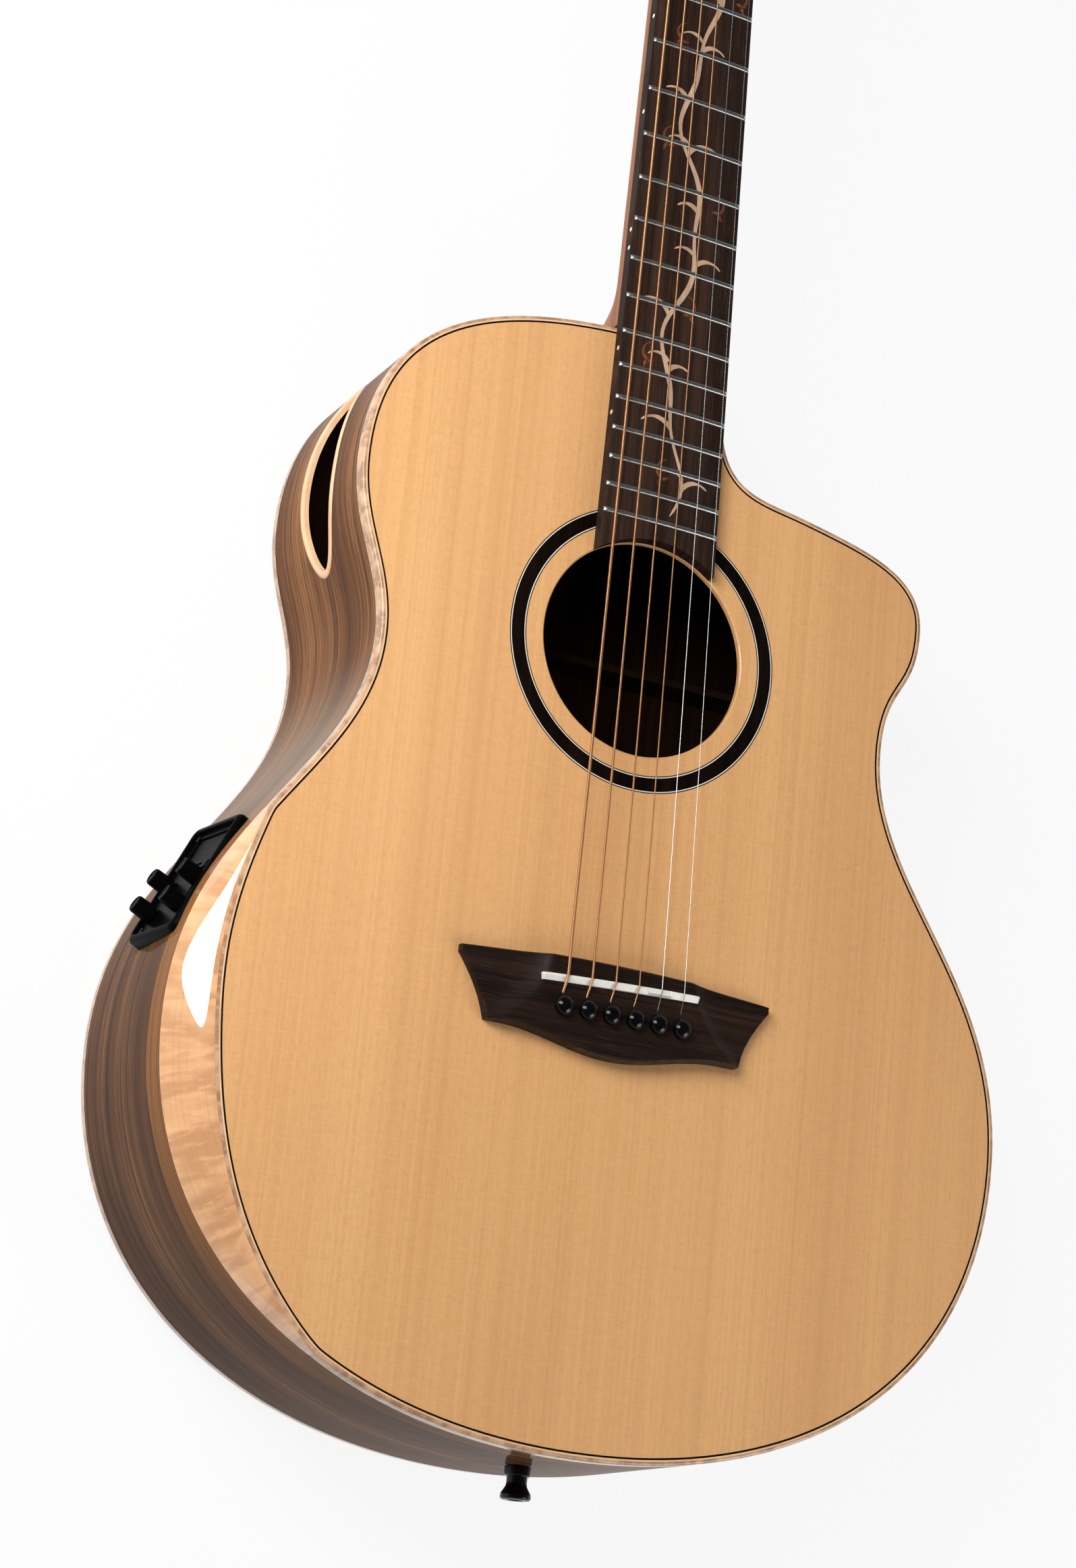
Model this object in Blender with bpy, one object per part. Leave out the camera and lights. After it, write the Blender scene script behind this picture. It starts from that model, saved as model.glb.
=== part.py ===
"""Acoustic-electric guitar with a cutaway, an armrest bevel and a sound port.

Units are metres. The guitar lies on its back: +Z is the soundboard's outward normal, +Y runs from
the saddle to the headstock and +X is the treble side. The origin is on the back's flat centre, under
the scale line where the strings end at the saddle.
"""

import math

import bmesh
import bpy
import numpy as np
from mathutils import Matrix, Vector

# Seats
GAP = 0.0003
BRACE_SEAT = 0.0005
OVERSHOOT = 0.010

# Scale and neck
SCALE_LENGTH = 0.648
FRET_COUNT = 20
BODY_FRET = 14
NUT_HALF_WIDTH = 0.02145
BOARD_HALF_WIDTH_AT_BODY = 0.0269
BOARD_THICKNESS = 0.0066
BOARD_RADIUS = 0.400
BOARD_FACETS = (-1.0, -0.4, 0.4, 1.0)
FRET_HEIGHT = 0.0011
FRET_WIDTH = 0.0027
FRET_TANG = 0.0006
FRET_CREST_SHARE = 0.98
FRET_END_INSET = 0.0006
NUT_LENGTH = 0.0055
NUT_SHORT_OF_HEAD = 0.0010
NUT_FALL = 0.0008
NUT_HEIGHT_OVER_BOARD = 0.0028
SHAFT_DEPTH_AT_NUT = 0.0150
SHAFT_DEPTH_AT_BODY = 0.0190
HEEL_REACH = 0.0115
HEEL_FULLNESS = 3.0
HEEL_SECTION_POWER = 1.35
HEEL_DEPTH = 0.100
HEEL_STATIONS = (0.0, 0.004, 0.008, 0.012, 0.016, 0.021, 0.028, 0.038, 0.058, 0.080)
SHAFT_STATIONS = (0.45, 0.55)
SECTION_POWER = 2.2
TRUSS_ROD_WIDTH = 0.006
TRUSS_ROD_DEPTH = 0.009
TRUSS_ROD_START = 0.305
TRUSS_ROD_END = 0.636

# Headstock and tuners
HEADSTOCK_ANGLE = math.radians(13.0)
HEADSTOCK_LENGTH = 0.186
HEADSTOCK_HALF_WIDTH = 0.0365
HEADSTOCK_TIP_HALF_WIDTH = 0.0310
HEADSTOCK_THICKNESS = 0.0150
HEADSTOCK_STEP = 0.0010
HEADSTOCK_FLARE = 0.034
FLARE_STATIONS = (0.0, 0.3, 0.55, 0.8, 1.0)
HEADSTOCK_TIP = 0.020
HEADSTOCK_TIP_POWER = 0.55
THROAT_LENGTH = 0.016
THROAT_RISE = 0.0012
THROAT_HIDDEN = 0.006
HEADSTOCK_BACK_START = 0.004
TUNER_SPACING = 0.042
TUNER_LAST_FROM_TIP = 0.054
TUNER_X = 0.0220
TUNER_PLATE_WIDTH = 0.0150
TUNER_PLATE_THICKNESS = 0.0012
TUNER_PLATE_END = 0.0150
TUNER_SHAFT_CUT = (0.004, 0.020)
GEARBOX_LENGTH = 0.0230
GEARBOX_WIDTH = 0.0150
GEARBOX_HEIGHT = 0.0100
GEARBOX_WALL = 0.0012
GEARBOX_INSET = 0.0004
POST_WELL = 0.004
POST_RADIUS = 0.0030
POST_HEIGHT = 0.0190
POST_CHAMFER = 0.0008
POST_BORE_CLEARANCE = 0.0003
STRING_HOLE_RADIUS = 0.0009
STRING_HOLE_BELOW_TOP = 0.0045
BUSHING_WALL = 0.0011
BUSHING_FLANGE_RADIUS = 0.0062
BUSHING_FLANGE_THICKNESS = 0.0018
GEAR_RADIUS = 0.0054
GEAR_THICKNESS = 0.0032
WORM_RADIUS = 0.0022
WORM_LENGTH = 0.0085
BUTTON_SHAFT_RADIUS = 0.0017
BUTTON_STANDOFF = 0.0065
BUTTON_LENGTH = 0.0150
BUTTON_HALF_WIDTH = 0.0088
BUTTON_HALF_THICKNESS = 0.0036

# Body outline
CURVE_STEPS = 48
TAIL_Y = -0.1968
TAIL_FULLNESS = 0.1135
LOWER_HALF_WIDTH = 0.19105
LOWER_Y = -0.0435
LOWER_FULLNESS_TAIL = 0.0952
LOWER_FULLNESS_WAIST = 0.0809
WAIST_HALF_WIDTH = 0.1215
WAIST_Y = 0.1268
WAIST_FULLNESS_LOWER = 0.0600
WAIST_FULLNESS_UPPER = 0.03005
UPPER_HALF_WIDTH = 0.1381
UPPER_Y = 0.2025
UPPER_FULLNESS_WAIST = 0.0316
UPPER_FULLNESS_NECK = 0.0534
SHOULDER_Y = 0.2928
SHOULDER_FULLNESS = 0.1051
HORN_Y = 0.1888
HORN_FULLNESS = 0.0290
HORN_WAIST_FULLNESS = 0.0347
CUTAWAY_X = 0.0768
CUTAWAY_Y = 0.2270
CUTAWAY_ANGLE = 0.19
CUTAWAY_FULLNESS_HORN = 0.0325
CUTAWAY_FULLNESS_NECK = 0.0266
CUTAWAY_END_X = 0.0290
CUTAWAY_END_Y = 0.2720
CUTAWAY_END_FULLNESS = 0.0220
CUTAWAY_CORNER_RADIUS = 0.0040

# Body depth and the domed back
BODY_DEPTH = 0.1088
BACK_CENTRE_Y = 0.020
BACK_RADIUS_ACROSS = 9.0
BACK_RADIUS_TAIL = 4.3
BACK_RADIUS_NECK = 2.1
BACK_FLAT_DEPTH = 0.0012

# Body walls
SOUNDBOARD_THICKNESS = 0.0028
BACK_THICKNESS = 0.0030
RIB_THICKNESS = 0.0023
TOP_BINDING_HEIGHT = 0.0065
BACK_BINDING_HEIGHT = 0.0050
LINING_WIDTH = 0.0060
LINING_FOOT = 0.0020
LINING_DEPTH = 0.0170
LINING_DIP_MARGIN = 0.035
LINING_END_MARGIN = 0.0023
LINING_STATION_MARGIN = 0.004
TAIL_BLOCK_HALF_WIDTH = 0.0350
TAIL_BLOCK_THICKNESS = 0.0180
NECK_BLOCK_HALF_WIDTH = 0.0350
NECK_BLOCK_THICKNESS = 0.0280
TRUSS_ACCESS_RADIUS = 0.0045

# Armrest bevel, by arc length along the bass outline from the tail
ARMREST_START = 0.1171
ARMREST_END = 0.3702
ARMREST_INSET = 0.0189
ARMREST_SKEW = 1.082
ARMREST_FULLNESS = 0.904
ARMREST_DROP = 0.0050
ARMREST_CROWN = 1.7
ARMREST_LEAST_WIDTH = 0.0013
ARMREST_STATION_MARGIN = 0.006

# Soundhole and rosette
SOUNDHOLE_Y = 0.1478
SOUNDHOLE_RADIUS = 0.0477
ROSETTE_INNER_RADIUS = 0.0561
ROSETTE_OUTER_RADIUS = 0.0638
ROSETTE_THICKNESS = 0.0009
HOLE_SIDES = 40

# Sound port, by arc length along the bass outline from the tail
PORT_ARC = 0.548
PORT_BELOW_TOP = 0.050
PORT_HALF_LENGTH = 0.0480
PORT_HALF_HEIGHT = 0.0190
PORT_OPENING_HALF_LENGTH = 0.0445
PORT_OPENING_HALF_HEIGHT = 0.0153
PORT_TRIM_DEPTH = 0.0024

# Bracing
X_BRACE_CROSS_Y = 0.076
X_BRACE_HALF_ANGLE = math.radians(49.0)
X_BRACE_LENGTH = 0.42
BRACE_WIDTH = 0.0080
BRACE_HEIGHT = 0.0140
BRACE_LEG_STEP = 0.0004
TONE_BAR_STEP = 0.003
TONE_BAR_ANGLE = math.radians(60.0)
TONE_BAR_REACH = (0.145, 0.185)
TONE_BAR_LENGTHS = (0.190, 0.150)
TRANSVERSE_Y = 0.2300
TRANSVERSE_HEIGHT = 0.0160
BRIDGE_PLATE_HALF_LENGTH = 0.066
BRIDGE_PLATE_FRONT = 0.008
BRIDGE_PLATE_BACK = -0.032
BRIDGE_PLATE_THICKNESS = 0.0025
BACK_BRACE_PLACES = (-0.120, -0.040, 0.060, 0.170)
BACK_BRACE_HEIGHT = 0.0120
BACK_BRACE_TOP_SHARE = 0.4
CENTRE_STRIP_WIDTH = 0.0160
CENTRE_STRIP_THICKNESS = 0.0026

# Bridge, saddle, pins
BRIDGE_HALF_LENGTH = 0.0724
BRIDGE_BODY_HALF_LENGTH = 0.0330
BRIDGE_HEIGHT = 0.0088
BRIDGE_WING_HEIGHT = 0.0040
BRIDGE_SCALLOP_LENGTH = 0.0150
BRIDGE_EDGE = 0.0009
BRIDGE_FRONT_MIDDLE = 0.0052
BRIDGE_FRONT_TIP = 0.0022
BRIDGE_BACK_MIDDLE = -0.0340
BRIDGE_BACK_WAIST = -0.0268
BRIDGE_BACK_WAIST_X = 0.0592
BRIDGE_BACK_TIP = -0.0006
BRIDGE_END_CURVE = 0.65
SADDLE_LENGTH = 0.0734
SADDLE_THICKNESS = 0.0030
SADDLE_X = -0.0008
SADDLE_Y = -0.0040
SADDLE_SKEW = math.radians(2.4)
SADDLE_OVER_BRIDGE = 0.0030
SADDLE_CREST = 0.0006
SADDLE_FRONT_DROP = 0.0003
SADDLE_REAR_DROP = 0.0016
SADDLE_END_DROP = 0.0010
SADDLE_SLOT_DEPTH = 0.0050
PICKUP_THICKNESS = 0.0010
PICKUP_END_GAP = 0.0015
PICKUP_SIDE_GAP = 0.0001
LEAD_FROM_SADDLE_END = 0.003
LEAD_BORE_DEPTH = 0.020
LEAD_BORE_OVERLAP = 0.001
PICKUP_LEAD_STEPS = ((0.0, 0.0, -0.012), (-0.004, 0.0, -0.026), (-0.030, 0.004, -0.036))
PICKUP_LEAD_END = -0.006
PICKUP_LEAD_STRAIGHTS = (0.020, 0.005)
PIN_SPACING = 0.0110
PIN_Y = -0.0168
PIN_RADIUS = 0.0025
PIN_HEAD_RADIUS = 0.00375
PIN_LENGTH = 0.0230
PIN_STAND = 0.0004
PIN_HEAD_HEIGHT = 0.0052

# Strings from bass to treble
STRING_RADII = (0.00068, 0.00053, 0.00041, 0.00031, 0.00020, 0.00015)
STRING_SPREAD_AT_SADDLE = 0.0546
STRING_SPREAD_AT_NUT = 0.0354
STRING_OVER_NUT_BOARD = 0.0016
STRING_SLOT_CLEARANCE = 0.00035
STRING_START_AHEAD_OF_PIN = 0.0050
RAMP_BEHIND = 0.0012
RAMP_AHEAD = 0.010
NUT_SLOT_BEFORE = 0.006
NUT_SLOT_AFTER = 0.010
NUT_SLOT_HEIGHT = 0.006
STRING_BEND_PAST_NUT_FACE = 0.0010
WINDING_TURNS = 2.5
WINDING_SELF_GAP = 0.00048
WINDING_HEIGHT = 0.0055
POINTS_PER_TURN = 12

# Preamp panel on the bass side
PREAMP_ARC = 0.3381
PREAMP_STANDOUT = 0.00296
PREAMP_BELOW_TOP = 0.0422
PREAMP_TURN = math.radians(2.15)
PREAMP_LEAN = math.radians(4.7)
PREAMP_LENGTH = 0.0595
PREAMP_WIDTH = 0.0455
PREAMP_CORNER = 0.0040
PREAMP_CHAMFER = 0.0016
PREAMP_RIM = 0.0032
PREAMP_RECESS = 0.0016
PREAMP_BLOCK_DEPTH = 0.0160
PREAMP_PLUG_LENGTH = 0.0490
PREAMP_PLUG_WIDTH = 0.0340
PREAMP_PLUG_DEPTH = 0.0120
PREAMP_PLUG_START = 0.0035
PREAMP_BOX_DEPTH = 0.0520
LABEL_RECESS = 0.0008
LABEL_MARGIN = 0.0025
LABEL_START = 0.0090
LABEL_END = 0.0240
KNOB_RADIUS = 0.0040
KNOB_HEIGHT = 0.0088
KNOB_CHAMFER = 0.0006
KNOB_SHAFT_RADIUS = 0.0015
KNOB_FIRST = -0.0023
KNOB_SPACING = 0.0140
KNOB_ROW = 0.0145
BATTERY_LENGTH = 0.0485
BATTERY_WIDTH = 0.0265
BATTERY_THICKNESS = 0.0175
BATTERY_PLACE = 0.0080

# Jack in the tail
JACK_BELOW_TOP = 0.0500
JACK_BARREL_RADIUS = 0.0046
JACK_COLLAR_RADIUS = 0.0056
JACK_COLLAR_LENGTH = 0.0040
JACK_NECK_RADIUS = 0.0044
JACK_FLARE_RADIUS = 0.0065
JACK_FLARE_LENGTH = 0.0032
JACK_FLARE_SLOPE = 0.0020
JACK_FLARE_CHAMFER = 0.0008
JACK_STANDOUT = 0.0140
JACK_NUT_RADIUS = 0.0075
JACK_NUT_LENGTH = 0.004
JACK_BODY_RADIUS = 0.0062
JACK_BODY_LENGTH = 0.0340
JACK_SOCKET_RADIUS = 0.0033
JACK_SOCKET_DEPTH = 0.0300
LEAD_RADIUS = 0.0011
OUTPUT_LEAD_START = 0.002
OUTPUT_LEAD_STRAIGHT = 0.010
OUTPUT_LEAD_BEND = (-0.020, 0.050, -0.010)
OUTPUT_LEAD_END = (-0.016, 0.004)
OUTPUT_LEAD_TURN = (0.030, -0.020)
OUTPUT_LEAD_LAST = 0.006

# Places that follow from the sizes above
TOP_Z = BODY_DEPTH
SHELL = RIB_THICKNESS + GAP
UNDER_TOP = TOP_Z - SOUNDBOARD_THICKNESS - GAP
BOARD_BOTTOM = TOP_Z + GAP
BOARD_TOP = BOARD_BOTTOM + BOARD_THICKNESS
FRET_TOP = BOARD_TOP + FRET_HEIGHT
NECK_START = SHOULDER_Y + GAP
NUT_END = SCALE_LENGTH + NUT_LENGTH
BRIDGE_BOTTOM = TOP_Z + GAP
BRIDGE_TOP = BRIDGE_BOTTOM + BRIDGE_HEIGHT
SADDLE_TOP = BRIDGE_TOP + SADDLE_OVER_BRIDGE
JACK_Z = TOP_Z - JACK_BELOW_TOP
BOARD_END_Y = SOUNDHOLE_Y + SOUNDHOLE_RADIUS
TUNER_FIRST = HEADSTOCK_LENGTH - TUNER_LAST_FROM_TIP - 2 * TUNER_SPACING
BODY_JOINT_Y = SCALE_LENGTH * 2 ** (-BODY_FRET / 12)


# Scene and materials


def clear_scene():
    for thing in list(bpy.data.objects):
        bpy.data.objects.remove(thing, do_unlink=True)


def material(name, colour, roughness, metallic=0.0):
    made = bpy.data.materials.new(name)
    made.use_nodes = True
    shader = made.node_tree.nodes["Principled BSDF"]
    shader.inputs["Base Color"].default_value = (*colour, 1.0)
    shader.inputs["Roughness"].default_value = roughness
    shader.inputs["Metallic"].default_value = metallic
    return made


# Mesh tools


def add_mesh(name, points, faces, finish=None, origin=None, smooth=False):
    """An object from points in world space, with its origin where asked."""
    centre = Vector(origin) if origin is not None else Vector((0.0, 0.0, 0.0))
    mesh = bpy.data.meshes.new(name)
    mesh.from_pydata([Vector(p) - centre for p in points], [], faces)
    body = bmesh.new()
    body.from_mesh(mesh)
    bmesh.ops.recalc_face_normals(body, faces=body.faces)
    body.to_mesh(mesh)
    body.free()
    thing = bpy.data.objects.new(name, mesh)
    thing.location = centre
    bpy.context.scene.collection.objects.link(thing)
    if finish is not None:
        mesh.materials.append(finish)
    if smooth:
        mesh.shade_smooth()
        mesh.set_sharp_from_angle(angle=math.radians(35))
    return thing


def loft_faces(rings, size, closed=False):
    """Faces that join rings of points; open lofts get a cap at each end."""
    faces = []
    for ring in range(rings if closed else rings - 1):
        here, after = ring * size, (ring + 1) % rings * size
        for k in range(size):
            n = (k + 1) % size
            faces.append((here + k, here + n, after + n, after + k))
    if not closed:
        faces.append(tuple(range(size)))
        faces.append(tuple(range((rings - 1) * size, rings * size)))
    return faces


def loft(name, rings, finish=None, closed=False, origin=None, smooth=False):
    points = [p for ring in rings for p in ring]
    return add_mesh(name, points, loft_faces(len(rings), len(rings[0]), closed), finish, origin, smooth)


def prism(name, outline, low, high, finish=None):
    """A plan outline carried from low to high; each may be a number or a function of x and y."""
    def level(value, x, y):
        return value(x, y) if callable(value) else value

    rings = [[(x, y, level(z, x, y)) for x, y in outline] for z in (low, high)]
    return loft(name, rings, finish)


def framed(matrix, points):
    return [tuple(matrix @ Vector(p)) for p in points]


def box(name, low, high, finish=None, matrix=None):
    (x0, y0, z0), (x1, y1, z1) = low, high
    rings = [[(x0, y0, z), (x1, y0, z), (x1, y1, z), (x0, y1, z)] for z in (z0, z1)]
    if matrix is not None:
        rings = [framed(matrix, ring) for ring in rings]
    return loft(name, rings, finish)


def turned(name, profile, matrix, finish=None, sides=16, origin=None, smooth=True):
    """Rings of (height, radius) or (height, radius, radius) about the local Z of a matrix."""
    rings = []
    for height, radius, *other in profile:
        second = other[0] if other else radius
        angles = [2 * math.pi * k / sides for k in range(sides)]
        ring = [(radius * math.cos(a), second * math.sin(a), height) for a in angles]
        rings.append(framed(matrix, ring))
    return loft(name, rings, finish, origin=origin, smooth=smooth)


def joined(name, things):
    """One helper mesh from several that don't touch."""
    points, faces = [], []
    for thing in things:
        start = len(points)
        points += [tuple(v.co) for v in thing.data.vertices]
        faces += [tuple(start + k for k in face.vertices) for face in thing.data.polygons]
        bpy.data.objects.remove(thing, do_unlink=True)
    return add_mesh(name, points, faces)


def combine(thing, other, operation):
    """Adds a Boolean with a helper, which the model leaves out."""
    other.hide_render = True
    other.display_type = "WIRE"
    change = thing.modifiers.new(other.name, "BOOLEAN")
    change.operation = operation
    change.solver = "EXACT"
    change.object = other


def cut(thing, cutter):
    combine(thing, cutter, "DIFFERENCE")


def fuse(thing, addition):
    combine(thing, addition, "UNION")


def axes_matrix(origin, x_axis, y_axis, z_axis):
    turn = Matrix((x_axis, y_axis, z_axis)).transposed().to_4x4()
    return Matrix.Translation(Vector(origin)) @ turn


def tube_between(name, start, end, radius, sides=8, finish=None):
    axis = (Vector(end) - Vector(start)).normalized()
    turn = axis.to_track_quat("Z", "Y").to_matrix().to_4x4()
    matrix = Matrix.Translation(Vector(start)) @ turn
    length = (Vector(end) - Vector(start)).length
    return turned(name, [(0, radius), (length, radius)], matrix, finish, sides)


def wire(name, points, radius, finish, resolution=1):
    """A round tube along points, with filled ends."""
    curve = bpy.data.curves.new(name, "CURVE")
    curve.dimensions = "3D"
    curve.bevel_depth = radius
    curve.bevel_resolution = resolution
    curve.use_fill_caps = True
    spline = curve.splines.new("POLY")
    spline.points.add(len(points) - 1)
    for knot, point in zip(spline.points, points):
        knot.co = (*point, 1.0)
    curve.materials.append(finish)
    thing = bpy.data.objects.new(name, curve)
    bpy.context.scene.collection.objects.link(thing)
    return thing


# Body outline


def cubic(p0, p1, p2, p3):
    """Points and directions along a cubic curve, without its last point."""
    t = np.linspace(0.0, 1.0, CURVE_STEPS + 1)[:-1, None]
    p0, p1, p2, p3 = (np.array(p, float) for p in (p0, p1, p2, p3))
    place = (1 - t) ** 3 * p0 + 3 * (1 - t) ** 2 * t * p1 + 3 * (1 - t) * t**2 * p2 + t**3 * p3
    slope = (1 - t) ** 2 * (p1 - p0) + 2 * (1 - t) * t * (p2 - p1) + t**2 * (p3 - p2)
    return place, slope


def half_outline(curves, side):
    """A half of the outline: places, outward normals, arc lengths and the arcs of its stations."""
    places, slopes = zip(*[cubic(*curve[:4]) for curve in curves])
    place = np.vstack([*places, curves[-1][3]])
    slope = np.vstack([*slopes, np.subtract(curves[-1][3], curves[-1][2])])
    slope = slope / np.linalg.norm(slope, axis=1, keepdims=True)
    normal = side * np.stack([-slope[:, 1], slope[:, 0]], axis=1)
    arc = np.concatenate([[0.0], np.cumsum(np.linalg.norm(np.diff(place, axis=0), axis=1))])
    stations = []
    for number, curve in enumerate(curves):
        first, last = arc[number * CURVE_STEPS], arc[(number + 1) * CURVE_STEPS]
        stations += list(np.linspace(first, last, curve[4] + 1)[:-1])
    return place, normal, arc, [*stations, arc[-1]]


def straight(start, end):
    """A straight line as a cubic curve."""
    start, end = np.array(start, float), np.array(end, float)
    return start, start + (end - start) / 3, end - (end - start) / 3, end


def bass_half():
    tail, lower = (0.0, TAIL_Y), (-LOWER_HALF_WIDTH, LOWER_Y)
    waist, upper = (-WAIST_HALF_WIDTH, WAIST_Y), (-UPPER_HALF_WIDTH, UPPER_Y)
    before = (lower[0], LOWER_Y - LOWER_FULLNESS_TAIL)
    after = (lower[0], LOWER_Y + LOWER_FULLNESS_WAIST)
    into_upper = (upper[0], UPPER_Y - UPPER_FULLNESS_WAIST)
    into_neck = (-SHOULDER_FULLNESS, SHOULDER_Y)
    curves = [
        (tail, (-TAIL_FULLNESS, TAIL_Y), before, lower, 11),
        (lower, after, (waist[0], WAIST_Y - WAIST_FULLNESS_LOWER), waist, 7),
        (waist, (waist[0], WAIST_Y + WAIST_FULLNESS_UPPER), into_upper, upper, 5),
        (upper, (upper[0], UPPER_Y + UPPER_FULLNESS_NECK), into_neck, (0.0, SHOULDER_Y), 10),
    ]
    return half_outline(curves, 1)


def treble_half():
    tail, lower = (0.0, TAIL_Y), (LOWER_HALF_WIDTH, LOWER_Y)
    waist, horn = (WAIST_HALF_WIDTH, WAIST_Y), (UPPER_HALF_WIDTH, HORN_Y)
    before = (lower[0], LOWER_Y - LOWER_FULLNESS_TAIL)
    after = (lower[0], LOWER_Y + LOWER_FULLNESS_WAIST)
    middle = np.array((CUTAWAY_X, CUTAWAY_Y))
    heading = np.array((-math.cos(CUTAWAY_ANGLE), math.sin(CUTAWAY_ANGLE)))
    x, y, bend = CUTAWAY_END_X, CUTAWAY_END_Y, CUTAWAY_CORNER_RADIUS
    low, high = (x, SHOULDER_Y - bend), (x - bend, SHOULDER_Y)
    full = 0.5523 * bend
    curves = [
        (tail, (TAIL_FULLNESS, TAIL_Y), before, lower, 11),
        (lower, after, (waist[0], WAIST_Y - WAIST_FULLNESS_LOWER), waist, 7),
        (waist, (waist[0], WAIST_Y + HORN_WAIST_FULLNESS), (horn[0], HORN_Y - HORN_FULLNESS), horn, 5),
        (horn, (horn[0], HORN_Y + HORN_FULLNESS), middle - heading * CUTAWAY_FULLNESS_HORN, middle, 8),
        (middle, middle + heading * CUTAWAY_FULLNESS_NECK, (x, y - CUTAWAY_END_FULLNESS), (x, y), 5),
        (*straight((x, y), low), 1),
        (low, (x, low[1] + full), (high[0] + full, SHOULDER_Y), high, 2),
        (*straight(high, (0.0, SHOULDER_Y)), 1),
    ]
    return half_outline(curves, -1)


def at_arc(half, arc):
    """Place and outward normal on a half outline at an arc length."""
    place, normal, arcs = half[:3]
    x, y, nx, ny = (np.interp(arc, arcs, column) for column in (*place.T, *normal.T))
    return np.array((x, y)), np.array((nx, ny)) / math.hypot(nx, ny)


def armrest_share(arc):
    """How far the armrest has grown at an arc length, from 0 to 1."""
    along = (arc - ARMREST_START) / (ARMREST_END - ARMREST_START)
    if along <= 0 or along >= 1:
        return 0.0
    return math.sin(math.pi * along**ARMREST_SKEW) ** ARMREST_FULLNESS


def armrest_inset(arc):
    return ARMREST_INSET * armrest_share(arc)


def armrest_ends():
    """Where the bevel is wide enough to be a piece of its own."""
    fine = np.linspace(ARMREST_START, ARMREST_END, 2000)
    wide = [a for a in fine if armrest_inset(a) >= ARMREST_LEAST_WIDTH]
    return float(wide[0]), float(wide[-1])


def with_armrest(half):
    """The bass half with stations where the bevel begins and ends, and none close to them."""
    marks = [ARMREST_START, *armrest_ends(), ARMREST_END]
    kept = [a for a in half[3] if min(abs(a - m) for m in marks) > ARMREST_STATION_MARGIN]
    return *half[:3], sorted(kept + marks)


def armrest_drop(arc):
    """How far below the soundboard the bevel's outer edge lies."""
    return TOP_BINDING_HEIGHT + ARMREST_DROP * armrest_share(arc)


BASS = with_armrest(bass_half())
TREBLE = treble_half()


def inset_points(half, inset):
    """The stations of a half outline moved inwards by a number or a function of arc length."""
    moved = []
    for arc in half[3]:
        spot, out = at_arc(half, arc)
        moved.append(spot - out * (inset(arc) if callable(inset) else inset))
    return np.array(moved)


def full_outline(bass_inset, treble_inset):
    """The closed outline, once round, from the tail up the treble side."""
    treble = inset_points(TREBLE, treble_inset)
    bass = inset_points(BASS, bass_inset)
    return [tuple(p) for p in treble] + [tuple(p) for p in bass[::-1][1:-1]]


def back_rise(x, y):
    """Height of the back's outer face over its flat centre."""
    radius = BACK_RADIUS_NECK if y > BACK_CENTRE_Y else BACK_RADIUS_TAIL
    along = (y - BACK_CENTRE_Y) ** 2 / (2 * radius)
    across = x**2 / (2 * BACK_RADIUS_ACROSS)
    return max(0.0, across + along - BACK_FLAT_DEPTH)


def over_back(x, y):
    """Height of what is glued to the inside of the back."""
    return back_rise(x, y) + BACK_THICKNESS + GAP


# Body


def make_soundboard(finish):
    inset = full_outline(lambda a: armrest_inset(a) + SHELL, SHELL)
    board = prism("soundboard", inset, TOP_Z - SOUNDBOARD_THICKNESS, TOP_Z, finish)
    hole = Matrix.Translation((0, SOUNDHOLE_Y, TOP_Z))
    deep = 2 * SOUNDBOARD_THICKNESS
    profile = [(-deep, SOUNDHOLE_RADIUS), (deep, SOUNDHOLE_RADIUS)]
    cut(board, turned("soundhole_cut", profile, hole, sides=HOLE_SIDES))
    inner, outer = ROSETTE_INNER_RADIUS - GAP, ROSETTE_OUTER_RADIUS + GAP
    cut(board, ring_of("rosette_groove", inner, outer, -ROSETTE_THICKNESS - GAP, deep))
    cut(board, pin_bores("soundboard_pin_bores"))
    cut(board, lead_bore("soundboard_lead_bore"))
    return board


def ring_of(name, inner, outer, low, high, finish=None):
    """A flat ring about the soundhole's centre, at heights from the soundboard's face."""
    rings = []
    for k in range(HOLE_SIDES):
        a = 2 * math.pi * k / HOLE_SIDES
        section = ((inner, low), (outer, low), (outer, high), (inner, high))
        rings.append([(r * math.cos(a), SOUNDHOLE_Y + r * math.sin(a), TOP_Z + z) for r, z in section])
    return loft(name, rings, finish, closed=True)


def make_rosette(finish):
    return ring_of("rosette", ROSETTE_INNER_RADIUS, ROSETTE_OUTER_RADIUS, -ROSETTE_THICKNESS, 0.0, finish)


def make_back(finish):
    """The back plate: rings of the outline drawn in to the flat centre, each at the dome's height."""
    edge = np.array(full_outline(SHELL, SHELL))
    centre = np.array((0.0, BACK_CENTRE_Y))
    shares = (1.0, 0.76, 0.5, 0.24)
    lower = []
    for share in shares:
        ring = centre + (edge - centre) * share
        lower.append([(x, y, back_rise(x, y)) for x, y in ring])
    upper = [[(x, y, z + BACK_THICKNESS) for x, y, z in ring] for ring in lower]
    return loft("back_plate", lower[::-1] + upper, finish)


def wall(name, half, low, high, finish):
    """A rib along a half outline. low and high are functions of arc length, x and y."""
    side = math.copysign(1.0, at_arc(half, half[2][-1] / 2)[0][0])
    rings = []
    for arc in half[3]:
        spot, out = at_arc(half, arc)
        inside = spot - out * RIB_THICKNESS
        bottom, top = low(arc, *spot), high(arc, *spot)
        for p in (spot, inside):
            p[0] = side * max(side * p[0], GAP / 2)
        rings.append([(*spot, bottom), (*spot, top), (*inside, top), (*inside, bottom)])
    return loft(name, rings, finish)


def rib_low(arc, x, y):
    return back_rise(x, y) + BACK_BINDING_HEIGHT + GAP


def bass_rib_top(arc, x, y):
    return TOP_Z - armrest_drop(arc) - GAP


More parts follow.
